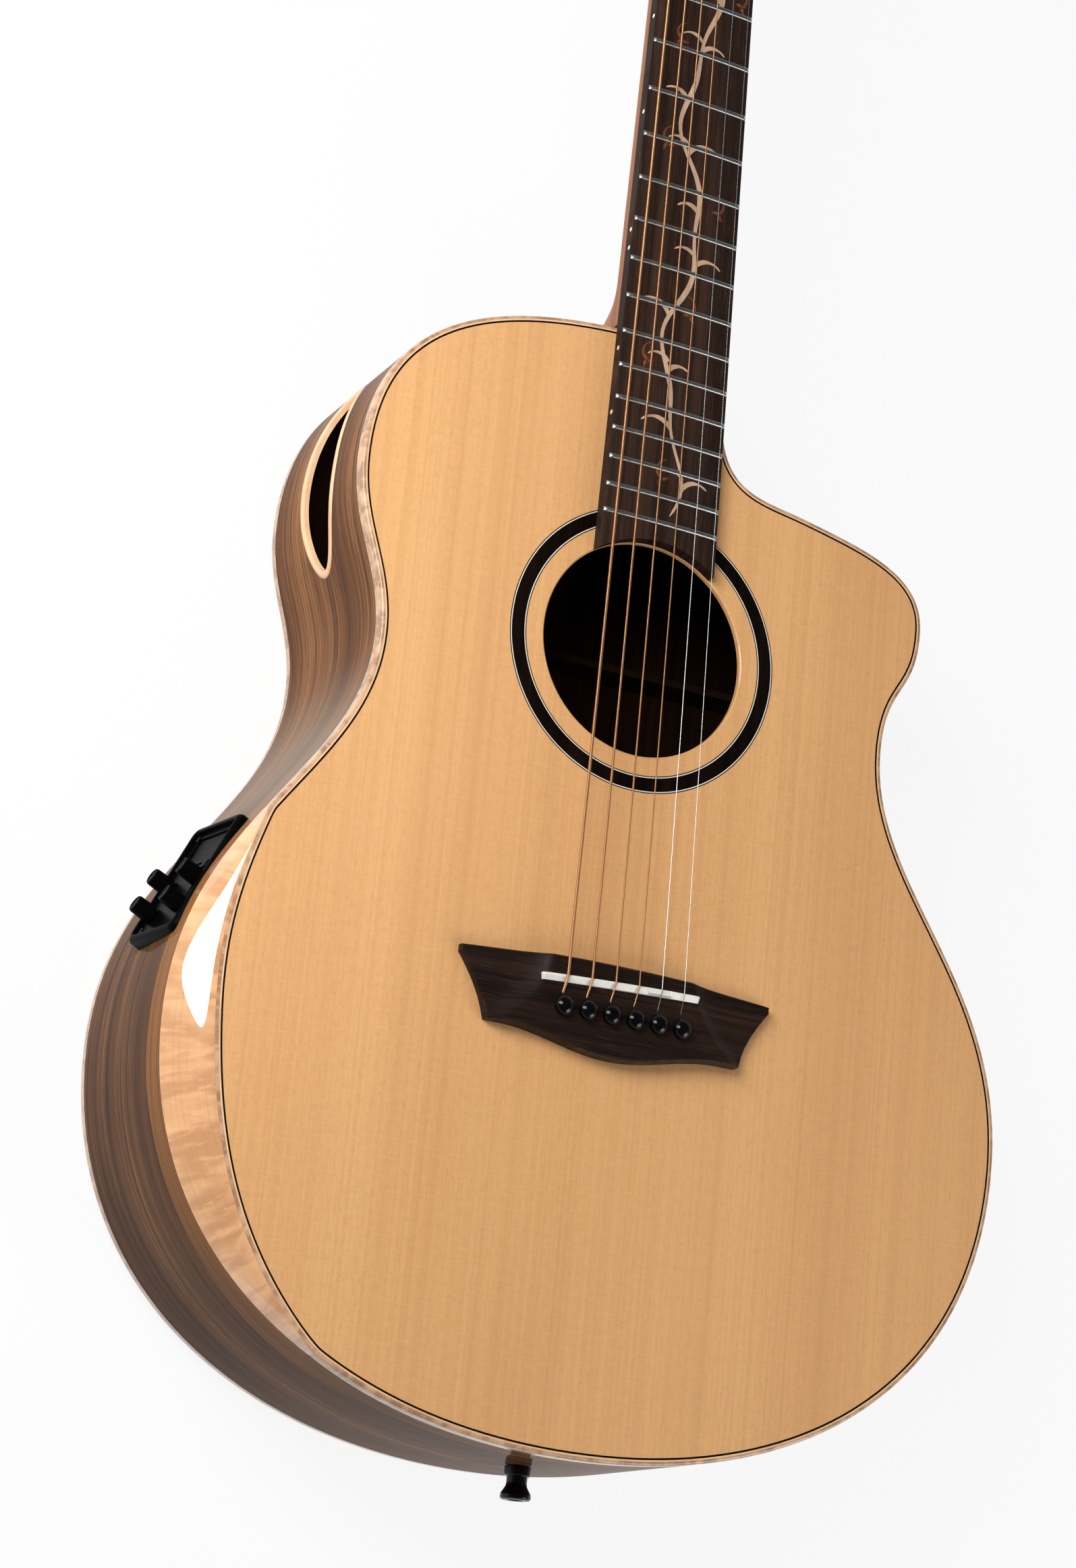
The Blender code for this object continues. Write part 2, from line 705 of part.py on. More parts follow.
def treble_rib_top(arc, x, y):
    return TOP_Z - TOP_BINDING_HEIGHT - GAP


def make_ribs(finish):
    bass = wall("rib_bass", BASS, rib_low, bass_rib_top, finish)
    treble = wall("rib_treble", TREBLE, rib_low, treble_rib_top, finish)
    cut(bass, port_plug("port_hole", PORT_HALF_LENGTH + GAP, PORT_HALF_HEIGHT + GAP, -OVERSHOOT, OVERSHOOT))
    plug = (PREAMP_PLUG_LENGTH, PREAMP_PLUG_WIDTH)
    cut(bass, preamp_block("preamp_hole", *plug, -3 * OVERSHOOT, OVERSHOOT, GAP))
    for rib in (bass, treble):
        cut(rib, jack_bore(rib.name + "_jack_bore"))
    return bass, treble


def make_linings(finish):
    for side, half in (("bass", BASS), ("treble", TREBLE)):
        lining("lining_top_" + side, half, lining_low, lining_top, False, finish)
        lining("lining_back_" + side, half, lining_seat, lining_back_top, True, finish)


def lining_seat(arc, x, y):
    return over_back(x, y)


def lining_back_top(arc, x, y):
    return over_back(x, y) + LINING_DEPTH - SOUNDBOARD_THICKNESS


def lining_low(arc, x, y):
    return TOP_Z - LINING_DEPTH


def lining_top(arc, x, y):
    """Under the soundboard, and lower where the bevel and its binding take the room."""
    margin = LINING_DIP_MARGIN
    near_bevel = x < 0 and ARMREST_START - margin < arc < ARMREST_END + margin
    return TOP_Z - armrest_drop(arc) - GAP if near_bevel else UNDER_TOP


def lining(name, half, low, high, wide_below, finish):
    """A lining strip, wide where it carries a plate and narrow at its other edge."""
    first, last = lining_arcs(half)
    margin = LINING_STATION_MARGIN
    rings = []
    for arc in [first, *[a for a in half[3] if first + margin < a < last - margin], last]:
        spot, out = at_arc(half, arc)
        bottom, top = low(arc, *spot), high(arc, *spot)
        below = LINING_WIDTH if wide_below else LINING_FOOT
        above = LINING_FOOT if wide_below else LINING_WIDTH
        outer = spot - out * SHELL
        ring = [(*outer, bottom), (*outer, top)]
        ring += [(*(outer - out * above), top), (*(outer - out * below), bottom)]
        rings.append(ring)
    return loft(name, rings, finish)


def lining_arcs(half):
    """The stretch between the blocks, as arc lengths."""
    fine = np.linspace(half[2][0], half[2][-1], 2000)
    spots = np.array([at_arc(half, a)[0] for a in fine])
    tail = fine[np.argmax(np.abs(spots[:, 0]) > TAIL_BLOCK_HALF_WIDTH + LINING_END_MARGIN)]
    if half is BASS:
        free = (spots[:, 0] < -NECK_BLOCK_HALF_WIDTH - LINING_END_MARGIN) & (spots[:, 1] > SOUNDHOLE_Y)
    else:
        free = spots[:, 1] < SHOULDER_Y - SHELL - NECK_BLOCK_THICKNESS - LINING_END_MARGIN
    return float(tail), float(fine[np.nonzero(free)[0][-1]])


def make_bindings(top_finish, back_finish):
    outer = full_outline(armrest_inset, 0.0)
    inner = full_outline(lambda a: armrest_inset(a) + RIB_THICKNESS, RIB_THICKNESS)
    rings = []
    for (ox, oy), (ix, iy) in zip(outer, inner):
        low = TOP_Z - TOP_BINDING_HEIGHT
        rings.append([(ox, oy, low), (ox, oy, TOP_Z), (ix, iy, TOP_Z), (ix, iy, low)])
    loft("binding_top", rings, top_finish, closed=True)
    outer, inner = full_outline(0.0, 0.0), full_outline(RIB_THICKNESS, RIB_THICKNESS)
    rings = []
    for (ox, oy), (ix, iy) in zip(outer, inner):
        low = back_rise(ox, oy)
        high = low + BACK_BINDING_HEIGHT
        rings.append([(ox, oy, low), (ox, oy, high), (ix, iy, high), (ix, iy, low)])
    loft("binding_back", rings, back_finish, closed=True)


def make_armrest(finish):
    """The bevelled corner: from the rib's top edge up to the binding, with a crowned face."""
    first, last = armrest_ends()
    steps = [k / 5 for k in range(6)]
    rings = []
    for arc in [a for a in BASS[3] if first <= a <= last]:
        spot, out = at_arc(BASS, arc)
        width, drop = armrest_inset(arc) - GAP, armrest_drop(arc)
        ring = [(*(spot - out * width * u), TOP_Z - drop * (1 - u) ** ARMREST_CROWN) for u in steps]
        ring.append((*(spot - out * width), TOP_Z - drop))
        rings.append(ring)
    return loft("armrest_bevel", rings, finish)


def make_blocks(finish):
    tail = [p for p in full_outline(SHELL, SHELL) if abs(p[0]) < TAIL_BLOCK_HALF_WIDTH and p[1] < 0]
    tail.sort(key=lambda p: p[0])
    face = TAIL_Y + SHELL + TAIL_BLOCK_THICKNESS
    edge = TAIL_BLOCK_HALF_WIDTH
    edge_y = np.interp(edge, *inset_points(TREBLE, SHELL)[:6].T)
    plan = [(-edge, edge_y), *tail, (edge, edge_y), (edge, face), (-edge, face)]
    block = prism("tail_block", plan, over_back, UNDER_TOP, finish)
    cut(block, jack_bore("tail_block_jack_bore"))
    neck_face = SHOULDER_Y - SHELL - NECK_BLOCK_THICKNESS
    treble = [p for p in inset_points(TREBLE, SHELL) if p[1] > neck_face]
    bass = [p for p in inset_points(BASS, SHELL) if p[0] > -NECK_BLOCK_HALF_WIDTH and p[1] > SOUNDHOLE_Y]
    bass_edge_y = np.interp(-NECK_BLOCK_HALF_WIDTH, *inset_points(BASS, SHELL)[-10:].T)
    side_x = float(treble[0][0])
    plan = [(side_x, neck_face), *[tuple(p) for p in treble], *[tuple(p) for p in bass[::-1][1:]]]
    plan += [(-NECK_BLOCK_HALF_WIDTH, bass_edge_y), (-NECK_BLOCK_HALF_WIDTH, neck_face)]
    neck = prism("neck_block", plan, over_back, UNDER_TOP, finish)
    bore = Matrix.Translation((0, neck_face, UNDER_TOP - 2 * TRUSS_ACCESS_RADIUS)) @ Y_UP
    ends = (-OVERSHOOT, NECK_BLOCK_THICKNESS + OVERSHOOT)
    cut(neck, turned("truss_access", [(end, TRUSS_ACCESS_RADIUS) for end in ends], bore, sides=12))


Y_UP = Matrix.Rotation(-math.pi / 2, 4, "X")


def port_plug(name, half_length, half_height, inside, outside):
    """An oval plug through the bass rib, bent to follow it."""
    rings = []
    for k in range(36):
        a = 2 * math.pi * k / 36
        spot, out = at_arc(BASS, PORT_ARC + half_length * math.cos(a))
        z = TOP_Z - PORT_BELOW_TOP + half_height * math.sin(a)
        rings.append([(*(spot + out * outside), z), (*(spot + out * inside), z)])
    points = [p for ring in rings for p in ring]
    outer = tuple(range(0, len(points), 2))
    inner = tuple(range(1, len(points), 2))
    count = len(points)
    faces = [(k, (k + 2) % count, (k + 3) % count, k + 1) for k in range(0, count, 2)]
    return add_mesh(name, points, faces + [outer, inner])


def make_port_trim(finish):
    rings = []
    for k in range(36):
        a = 2 * math.pi * k / 36
        section = []
        for length, height in (
            (PORT_OPENING_HALF_LENGTH, PORT_OPENING_HALF_HEIGHT),
            (PORT_HALF_LENGTH, PORT_HALF_HEIGHT),
        ):
            spot, out = at_arc(BASS, PORT_ARC + length * math.cos(a))
            z = TOP_Z - PORT_BELOW_TOP + height * math.sin(a)
            section += [(spot, out, z)]
        (near, n_out, n_z), (far, f_out, f_z) = section
        rings.append([
            (*near, n_z), (*far, f_z),
            (*(far - f_out * PORT_TRIM_DEPTH), f_z), (*(near - n_out * PORT_TRIM_DEPTH), n_z),
        ])
    return loft("port_trim", rings, finish, closed=True)


# Bracing


def inner_prism(name, low, high):
    """The space inside the linings and the armrest's inner edge."""
    margin = SHELL + LINING_WIDTH + GAP
    bass_inset = lambda a: max(margin, armrest_inset(a) + SHELL + 2 * GAP)
    bass = inset_points(BASS, bass_inset)
    treble = inset_points(TREBLE, margin)
    limit = SHOULDER_Y - SHELL - NECK_BLOCK_THICKNESS - GAP
    plan = [tuple(p) for p in treble if p[1] < limit] + [tuple(p) for p in bass[::-1][:-1] if p[1] < limit]
    return prism(name, plan, low, high)


def bar(name, centre, angle, length, height, finish=None):
    """A brace under the soundboard, its line turned by an angle from +Y towards +X."""
    matrix = Matrix.Translation((centre[0], centre[1], UNDER_TOP)) @ Matrix.Rotation(-angle, 4, "Z")
    half = BRACE_WIDTH / 2
    return box(name, (-half, -length / 2, -height), (half, length / 2, 0), finish, matrix)


def make_top_bracing(finish):
    crossing = (0.0, X_BRACE_CROSS_Y)
    brace = bar("x_brace", crossing, X_BRACE_HALF_ANGLE, X_BRACE_LENGTH, BRACE_HEIGHT, finish)
    fuse(brace, bar("x_leg", crossing, -X_BRACE_HALF_ANGLE, X_BRACE_LENGTH, BRACE_HEIGHT - BRACE_LEG_STEP))
    for number, (reach, length) in enumerate(zip(TONE_BAR_REACH, TONE_BAR_LENGTHS), 1):
        x = reach * math.sin(X_BRACE_HALF_ANGLE) - math.sin(TONE_BAR_ANGLE) * length / 2
        y = X_BRACE_CROSS_Y - reach * math.cos(X_BRACE_HALF_ANGLE) - math.cos(TONE_BAR_ANGLE) * length / 2
        height = BRACE_HEIGHT - TONE_BAR_STEP * number
        fuse(brace, bar(f"tone_bar_{number}", (x, y), TONE_BAR_ANGLE, length, height))
    combine(brace, inner_prism("x_brace_room", 0.0, TOP_Z), "INTERSECT")
    place, length = (0.0, TRANSVERSE_Y), 2 * UPPER_HALF_WIDTH
    cross = bar("transverse_brace", place, math.pi / 2, length, TRANSVERSE_HEIGHT, finish)
    combine(cross, inner_prism("transverse_room", 0.0, TOP_Z), "INTERSECT")


def make_bridge_plate(finish):
    half = BRIDGE_PLATE_HALF_LENGTH
    low = (-half, BRIDGE_PLATE_BACK, UNDER_TOP - BRIDGE_PLATE_THICKNESS)
    plate = box("bridge_plate", low, (half, BRIDGE_PLATE_FRONT, UNDER_TOP), finish)
    cut(plate, pin_bores("plate_pin_bores"))
    cut(plate, lead_bore("plate_lead_bore"))


def make_back_bracing(finish):
    """Cross braces on the back and the strip between them, as one glued frame."""
    y_low = TAIL_Y + SHELL + TAIL_BLOCK_THICKNESS + GAP
    y_high = SHOULDER_Y - SHELL - NECK_BLOCK_THICKNESS - GAP
    steps = np.linspace(y_low, y_high, 8)
    half = CENTRE_STRIP_WIDTH / 2
    rings = []
    for y in steps:
        z = over_back(0, y) + BRACE_SEAT - GAP
        top = z + CENTRE_STRIP_THICKNESS
        rings.append([(-half, y, z), (half, y, z), (half, y, top), (-half, y, top)])
    frame = loft("back_bracing", rings, finish)
    foot = BRACE_WIDTH / 2
    ridge = foot * BACK_BRACE_TOP_SHARE
    shape = ((-foot, 0.0), (foot, 0.0), (ridge, BACK_BRACE_HEIGHT), (-ridge, BACK_BRACE_HEIGHT))
    for number, place in enumerate(BACK_BRACE_PLACES, 1):
        rings = []
        for x in np.linspace(-LOWER_HALF_WIDTH, LOWER_HALF_WIDTH, 6):
            section = []
            for y, lift in shape:
                spot = place + y
                section.append((x, spot, over_back(x, spot) + BRACE_SEAT - GAP + lift))
            rings.append(section)
        fuse(frame, loft(f"back_brace_{number}", rings))
    combine(frame, inner_prism("back_bracing_room", -OVERSHOOT, TOP_Z), "INTERSECT")


# Neck


def board_half_width(y):
    slope = (BOARD_HALF_WIDTH_AT_BODY - NUT_HALF_WIDTH) / (SCALE_LENGTH - BODY_JOINT_Y)
    return NUT_HALF_WIDTH + slope * (SCALE_LENGTH - y)


def crown(x):
    """How far the rounded fingerboard lies under its centre line."""
    return x * x / (2 * BOARD_RADIUS)


def neck_depth(y):
    along = (y - NECK_START) / (NUT_END - NECK_START)
    shaft = SHAFT_DEPTH_AT_BODY + (SHAFT_DEPTH_AT_NUT - SHAFT_DEPTH_AT_BODY) * along
    heel = 1 / (1 + ((y - NECK_START) / HEEL_REACH) ** HEEL_FULLNESS)
    return shaft + (HEEL_DEPTH - shaft) * heel


def neck_section(y, sides=12):
    """A rounded section that ends flat where the heel meets the level of the back."""
    width, depth = board_half_width(y), neck_depth(y)
    heel_bottom = back_rise(0.0, SHOULDER_Y)
    slender = min(1.0, SHAFT_DEPTH_AT_BODY / depth) ** 2
    power = HEEL_SECTION_POWER + (SECTION_POWER - HEEL_SECTION_POWER) * slender
    ring = []
    for k in range(sides + 1):
        a = math.pi * k / sides
        reach = math.copysign(abs(math.cos(a)) ** (2 / power), math.cos(a))
        down = math.sin(a) ** (2 / power) if 0 < k < sides else 0.0
        ring.append((width * reach, y, max(TOP_Z - depth * down, heel_bottom)))
    return ring


def headstock_half_width(u):
    """Half width of the headstock along its length: a flare after the nut, then a slow taper."""
    share = min(1.0, u / HEADSTOCK_FLARE)
    rise = share * share * (3 - 2 * share)
    full = NUT_HALF_WIDTH + (HEADSTOCK_HALF_WIDTH - NUT_HALF_WIDTH) * rise
    taper = (HEADSTOCK_HALF_WIDTH - HEADSTOCK_TIP_HALF_WIDTH) * max(0.0, u - HEADSTOCK_FLARE)
    return full - taper / (HEADSTOCK_LENGTH - HEADSTOCK_FLARE)


def headstock_matrix():
    """Local axes on the headstock's face: X across, Y towards the tip, Z out of the face."""
    origin = (0.0, NUT_END, TOP_Z - HEADSTOCK_STEP)
    sin, cos = math.sin(HEADSTOCK_ANGLE), math.cos(HEADSTOCK_ANGLE)
    return axes_matrix(origin, (1, 0, 0), (0, cos, -sin), (0, sin, cos))


HEAD = headstock_matrix()


def make_headstock_blank():
    """The headstock: its side profile, trimmed to its plan."""
    reach = HEADSTOCK_LENGTH + OVERSHOOT
    back = -HEADSTOCK_THICKNESS
    tip_top, tip_low = HEAD @ Vector((0, reach, 0)), HEAD @ Vector((0, reach, back))
    low_start = HEAD @ Vector((0, HEADSTOCK_BACK_START, back))
    start = NUT_END - THROAT_LENGTH
    face = TOP_Z - HEADSTOCK_STEP
    side = [(start, face), (NUT_END, face), (tip_top.y, tip_top.z), (tip_low.y, tip_low.z)]
    side += [(low_start.y, low_start.z), (start, TOP_Z - SHAFT_DEPTH_AT_NUT + THROAT_RISE)]
    wide = HEADSTOCK_HALF_WIDTH + OVERSHOOT
    blank = loft("headstock_blank", [[(x, y, z) for y, z in side] for x in (-wide, wide)])
    plan = [(NUT_HALF_WIDTH - GAP, start - THROAT_HIDDEN)]
    for share in FLARE_STATIONS:
        u = HEADSTOCK_FLARE * share
        plan.append((headstock_half_width(u), NUT_END + u * math.cos(HEADSTOCK_ANGLE)))
    for k in range(7):
        a = math.pi / 2 * k / 6
        tip = HEADSTOCK_LENGTH - HEADSTOCK_TIP * (1 - math.sin(a))
        half = HEADSTOCK_TIP_HALF_WIDTH * math.cos(a) ** HEADSTOCK_TIP_POWER if k < 6 else 0.0
        plan.append((half, NUT_END + tip * math.cos(HEADSTOCK_ANGLE)))
    plan += [(-x, y) for x, y in plan[:-1][::-1]]
    combine(blank, prism("headstock_plan", plan, 0.0, TOP_Z + OVERSHOOT), "INTERSECT")
    return blank


def make_neck(finish):
    stations = [*[NECK_START + place for place in HEEL_STATIONS], *SHAFT_STATIONS, NUT_END]
    neck = loft("neck", [neck_section(y) for y in stations], finish)
    fuse(neck, make_headstock_blank())
    half = TRUSS_ROD_WIDTH / 2 + GAP
    low = (-half, TRUSS_ROD_START - GAP, TOP_Z - TRUSS_ROD_DEPTH - GAP)
    cut(neck, box("truss_slot", low, (half, TRUSS_ROD_END + GAP, TOP_Z + OVERSHOOT)))
    bore = POST_RADIUS + POST_BORE_CLEARANCE + BUSHING_WALL + GAP
    bores = []
    for side, u in tuner_places():
        matrix = HEAD @ Matrix.Translation((side * TUNER_X, u, 0))
        profile = [(-3 * OVERSHOOT, bore), (OVERSHOOT, bore)]
        bores.append(turned("bore", profile, matrix, sides=12, smooth=False))
    cut(neck, joined("tuner_bores", bores))


def make_truss_rod(finish):
    half = TRUSS_ROD_WIDTH / 2
    low = (-half, TRUSS_ROD_START, TOP_Z - TRUSS_ROD_DEPTH)
    box("truss_rod", low, (half, TRUSS_ROD_END, TOP_Z), finish)


def fret_place(number):
    return SCALE_LENGTH * 2 ** (-number / 12)


def make_fretboard(finish):
    """The board, crowned across, ending in an arc over the soundhole's edge, with its frets."""
    corner = board_half_width(BOARD_END_Y)
    end_y = SCALE_LENGTH - GAP
    rings = []
    for share in BOARD_FACETS:
        near_x, far_x = share * corner, share * board_half_width(end_y)
        near_y = SOUNDHOLE_Y + math.sqrt(SOUNDHOLE_RADIUS**2 - near_x**2)
        rings.append([
            (near_x, near_y, BOARD_BOTTOM), (near_x, near_y, BOARD_TOP - crown(near_x)),
            (far_x, end_y, BOARD_TOP - crown(far_x)), (far_x, end_y, BOARD_BOTTOM),
        ])
    board = loft("fretboard", rings, finish)
    on_board = [n for n in range(1, FRET_COUNT + 1) if fret_place(n) > BOARD_END_Y + FRET_WIDTH]
    fuse(board, joined("frets", [fret_bar(number) for number in on_board]))


def fret_bar(number):
    y = fret_place(number)
    half = board_half_width(y) - FRET_END_INSET
    rings = []
    for share in BOARD_FACETS:
        x = half * share
        top = FRET_TOP - crown(x)
        low = top - FRET_HEIGHT - FRET_TANG
        crest = x * FRET_CREST_SHARE
        rings.append([
            (x, y - FRET_WIDTH / 2, low), (crest, y - FRET_WIDTH / 5, top),
            (crest, y + FRET_WIDTH / 5, top), (x, y + FRET_WIDTH / 2, low),
        ])
    return loft("fret", rings)


def make_nut(finish):
    half = board_half_width(SCALE_LENGTH)
    rings = []
    for share in BOARD_FACETS:
        x = half * share
        top = BOARD_TOP + NUT_HEIGHT_OVER_BOARD - crown(x)
        end = NUT_END - NUT_SHORT_OF_HEAD
        section = ((SCALE_LENGTH, BOARD_BOTTOM), (SCALE_LENGTH, top), (end, top - NUT_FALL))
        rings.append([(x, y, z) for y, z in (*section, (end, BOARD_BOTTOM))])
    nut = loft("nut", rings, finish)
    slots = []
    for index in range(6):
        path = string_path(index)
        start, end = path[2], path[3]
        way = (Vector(end) - Vector(start)).normalized()
        low = Vector(end) - way * NUT_SLOT_BEFORE
        slots.append(nut_slot(index, low, Vector(end), Vector(path[4])))
    cut(nut, joined("nut_slots", slots))


def nut_slot(index, before, at_nut, after):
    """An open slot over the nut along a string."""
    radius = STRING_RADII[index] + STRING_SLOT_CLEARANCE
    far = at_nut + (after - at_nut).normalized() * NUT_SLOT_AFTER
    rings = []
    for point in (before, at_nut, far):
        low, high = point.z - radius, point.z + NUT_SLOT_HEIGHT
        rings.append([
            (point.x - radius, point.y, low), (point.x + radius, point.y, low),
            (point.x + radius, point.y, high), (point.x - radius, point.y, high),
        ])
    return loft("slot", rings)


# Bridge, saddle and pins


def pin_x(index):
    return (index - 2.5) * PIN_SPACING


def pin_bores(name):
    bores = []
    radius = PIN_RADIUS + GAP
    for index in range(6):
        matrix = Matrix.Translation((pin_x(index), PIN_Y, TOP_Z))
        profile = [(-2 * OVERSHOOT, radius), (2 * OVERSHOOT, radius)]
        bores.append(turned("bore", profile, matrix, sides=10, smooth=False))
    return joined(name, bores)


def lead_place():
    """Where the pickup's lead leaves the saddle slot, near its bass end."""
    reach = SADDLE_LENGTH / 2 - LEAD_FROM_SADDLE_END
    return (SADDLE_X - reach * math.cos(SADDLE_SKEW), SADDLE_Y - reach * math.sin(SADDLE_SKEW))


def lead_bore(name):
    x, y = lead_place()
    low, high = TOP_Z - LEAD_BORE_DEPTH, BRIDGE_TOP - SADDLE_SLOT_DEPTH + LEAD_BORE_OVERLAP
    return tube_between(name, (x, y, low), (x, y, high), LEAD_RADIUS + GAP, 8)


def bridge_height(x):
    """Height of the bridge's top: full in the middle, scalloped down to thin wings."""
    out = (abs(x) - BRIDGE_BODY_HALF_LENGTH) / BRIDGE_SCALLOP_LENGTH
    if out <= 0:
        return BRIDGE_HEIGHT
    fall = 1 - (1 - min(out, 1.0)) ** 2
    return BRIDGE_HEIGHT - (BRIDGE_HEIGHT - BRIDGE_WING_HEIGHT) * fall


def bridge_front(x):
    share = abs(x) / BRIDGE_HALF_LENGTH
    return BRIDGE_FRONT_MIDDLE + (BRIDGE_FRONT_TIP - BRIDGE_FRONT_MIDDLE) * share**2.2


def bridge_back(x):
    """The rear edge: a wide belly that draws in to a waist, then the slanted end."""
    out = abs(x)
    if out <= BRIDGE_BACK_WAIST_X:
        share = out / BRIDGE_BACK_WAIST_X
        swell = 0.5 + 0.5 * math.cos(math.pi * min(1.0, share * 1.15))
        return BRIDGE_BACK_WAIST + (BRIDGE_BACK_MIDDLE - BRIDGE_BACK_WAIST) * swell
    share = (out - BRIDGE_BACK_WAIST_X) / (BRIDGE_HALF_LENGTH - BRIDGE_BACK_WAIST_X)
    return BRIDGE_BACK_WAIST + (BRIDGE_BACK_TIP - BRIDGE_BACK_WAIST) * share**BRIDGE_END_CURVE


def make_bridge(finish):
    waist = -BRIDGE_BACK_WAIST_X / BRIDGE_HALF_LENGTH
    wing = [-1.0, -0.97, -0.93, -0.88, -0.84, waist, -0.68, -0.60, -0.53, -0.455, -0.30, -0.15]
    stations = [*wing, 0.0, *[-s for s in wing[::-1]]]
    rings = []
    for share in stations:
        x = share * BRIDGE_HALF_LENGTH
        low, high = BRIDGE_BOTTOM, BRIDGE_BOTTOM + bridge_height(x)
        front, back, edge = bridge_front(x), bridge_back(x), BRIDGE_EDGE
        if abs(share) == 1.0:
            high -= edge
        rings.append([
            (x, back, low), (x, front, low), (x, front, high - edge),
            (x, front - edge, high), (x, back + edge, high), (x, back, high - edge),
        ])
    bridge = loft("bridge", rings, finish)
    slot = (SADDLE_THICKNESS / 2 + GAP, SADDLE_LENGTH / 2 + GAP)
    matrix = saddle_matrix()
    low = (-slot[1], -slot[0], -SADDLE_SLOT_DEPTH)
    cut(bridge, box("saddle_slot", low, (slot[1], slot[0], OVERSHOOT), matrix=matrix))
    cut(bridge, pin_bores("bridge_pin_bores"))
    cut(bridge, lead_bore("bridge_lead_bore"))
    ramps = []
    for index in range(6):
        start, saddle = (Vector(p) for p in string_path(index)[:2])
        way = (saddle - start).normalized()
        radius = STRING_RADII[index] + STRING_SLOT_CLEARANCE
        ends = (start - way * RAMP_BEHIND, start + way * RAMP_AHEAD)
        ramps.append(tube_between("ramp", *ends, radius, 6))
    cut(bridge, joined("string_ramps", ramps))


def saddle_matrix():
    """Local axes of the saddle: X along it, Z up, at the level of the bridge's top."""
    return Matrix.Translation((SADDLE_X, SADDLE_Y, BRIDGE_TOP)) @ Matrix.Rotation(SADDLE_SKEW, 4, "Z")


def make_saddle(finish):
    matrix = saddle_matrix()
    half, thick = SADDLE_LENGTH / 2, SADDLE_THICKNESS / 2
    low = -SADDLE_SLOT_DEPTH + PICKUP_THICKNESS + 2 * GAP
    shares = [-1.0, -0.96, -0.6, -0.2, 0.2, 0.6, 0.96, 1.0]
    rings = []
    for share in shares:
        x = half * share
        top = SADDLE_OVER_BRIDGE - crown(x) - (SADDLE_END_DROP if abs(share) == 1.0 else 0.0)
        section = ((-thick, low), (thick, low), (thick, top - SADDLE_FRONT_DROP), (SADDLE_CREST, top))
        section += ((-thick, top - SADDLE_REAR_DROP),)
        rings.append(framed(matrix, [(x, y, z) for y, z in section]))
    loft("saddle", rings, finish)


def make_pickup(finish):
    """The flat pickup under the saddle and its lead, which runs to the preamp's box."""
    matrix = saddle_matrix()
    half, thick = SADDLE_LENGTH / 2 - PICKUP_END_GAP, SADDLE_THICKNESS / 2 - PICKUP_SIDE_GAP
    low = -SADDLE_SLOT_DEPTH + GAP
    strip = box("saddle_pickup", (-half, -thick, low), (half, thick, low + PICKUP_THICKNESS), finish, matrix)
    x, y = lead_place()
    inside = box_back(PICKUP_LEAD_END, 0.0)
    away = -PREAMP.col[2].to_3d()
    knots = [Vector((x, y, BRIDGE_TOP - SADDLE_SLOT_DEPTH + GAP + PICKUP_THICKNESS / 2))]
    knots += [Vector((x, y, TOP_Z)) + Vector(step) for step in PICKUP_LEAD_STEPS]
    knots += [inside + away * reach for reach in (*PICKUP_LEAD_STRAIGHTS, 0.0)]
    fuse(strip, tube_mesh("pickup_lead", knots, LEAD_RADIUS))


def tube_mesh(name, knots, radius, sides=6):
    """A helper tube through knots, as a mesh that a Boolean can join."""
    rings = []
    for number, knot in enumerate(knots):
        before = knots[max(0, number - 1)]
        after = knots[min(len(knots) - 1, number + 1)]
        way = (after - before).normalized()
        turn = way.to_track_quat("Z", "Y").to_matrix()
        angles = [2 * math.pi * k / sides for k in range(sides)]
        spots = [Vector((radius * math.cos(a), radius * math.sin(a), 0)) for a in angles]
        rings.append([tuple(knot + turn @ p) for p in spots])
    return loft(name, rings)


def make_pins(finish):
    for index in range(6):
        matrix = Matrix.Translation((pin_x(index), PIN_Y, BRIDGE_TOP))
        head = PIN_HEAD_RADIUS
        profile = [(-PIN_LENGTH, PIN_RADIUS * 0.55), (-GAP, PIN_RADIUS), (PIN_STAND, PIN_RADIUS)]
        for share, grow in ((0.0, 0.62), (0.42, 1.0), (0.80, 0.72), (1.0, 0.25)):
            profile.append((PIN_STAND + PIN_HEAD_HEIGHT * share, head * grow))
        turned(f"bridge_pin_{index + 1}", profile, matrix, finish, sides=8)


# Strings


def string_height_at_saddle(index):
    x = STRING_SPREAD_AT_SADDLE * (index / 5 - 0.5)
    return SADDLE_TOP - crown(x) + STRING_RADII[index] + GAP


def tuner_of(index):
    """Side and distance of a string's tuner: the outer strings go to the nearest posts."""
    side = -1 if index < 3 else 1
    order = index if index < 3 else 5 - index
    return side, TUNER_FIRST + TUNER_SPACING * order


def tuner_places():
    return [tuner_of(index) for index in range(6)]


def string_path(index):
    """Corners of a string's way from its bridge pin to the point where it meets its post."""
    radius = STRING_RADII[index]
    x = STRING_SPREAD_AT_SADDLE * (index / 5 - 0.5)
    along = (x - SADDLE_X) / math.cos(SADDLE_SKEW)
    saddle_y = SADDLE_Y + SADDLE_CREST + along * math.sin(SADDLE_SKEW)
    start = (pin_x(index), PIN_Y + STRING_START_AHEAD_OF_PIN, BRIDGE_TOP - radius)
    over = (x, saddle_y, string_height_at_saddle(index))
    nut_x = STRING_SPREAD_AT_NUT * (index / 5 - 0.5)
    nut_z = BOARD_TOP - crown(nut_x) + STRING_OVER_NUT_BOARD + radius
    middle = tuple((a + b) / 2 for a, b in zip(over, (nut_x, SCALE_LENGTH, nut_z)))
    at_nut = (nut_x, SCALE_LENGTH + STRING_BEND_PAST_NUT_FACE, nut_z)
    return [start, over, middle, at_nut, winding(index, Vector(at_nut))[0]]


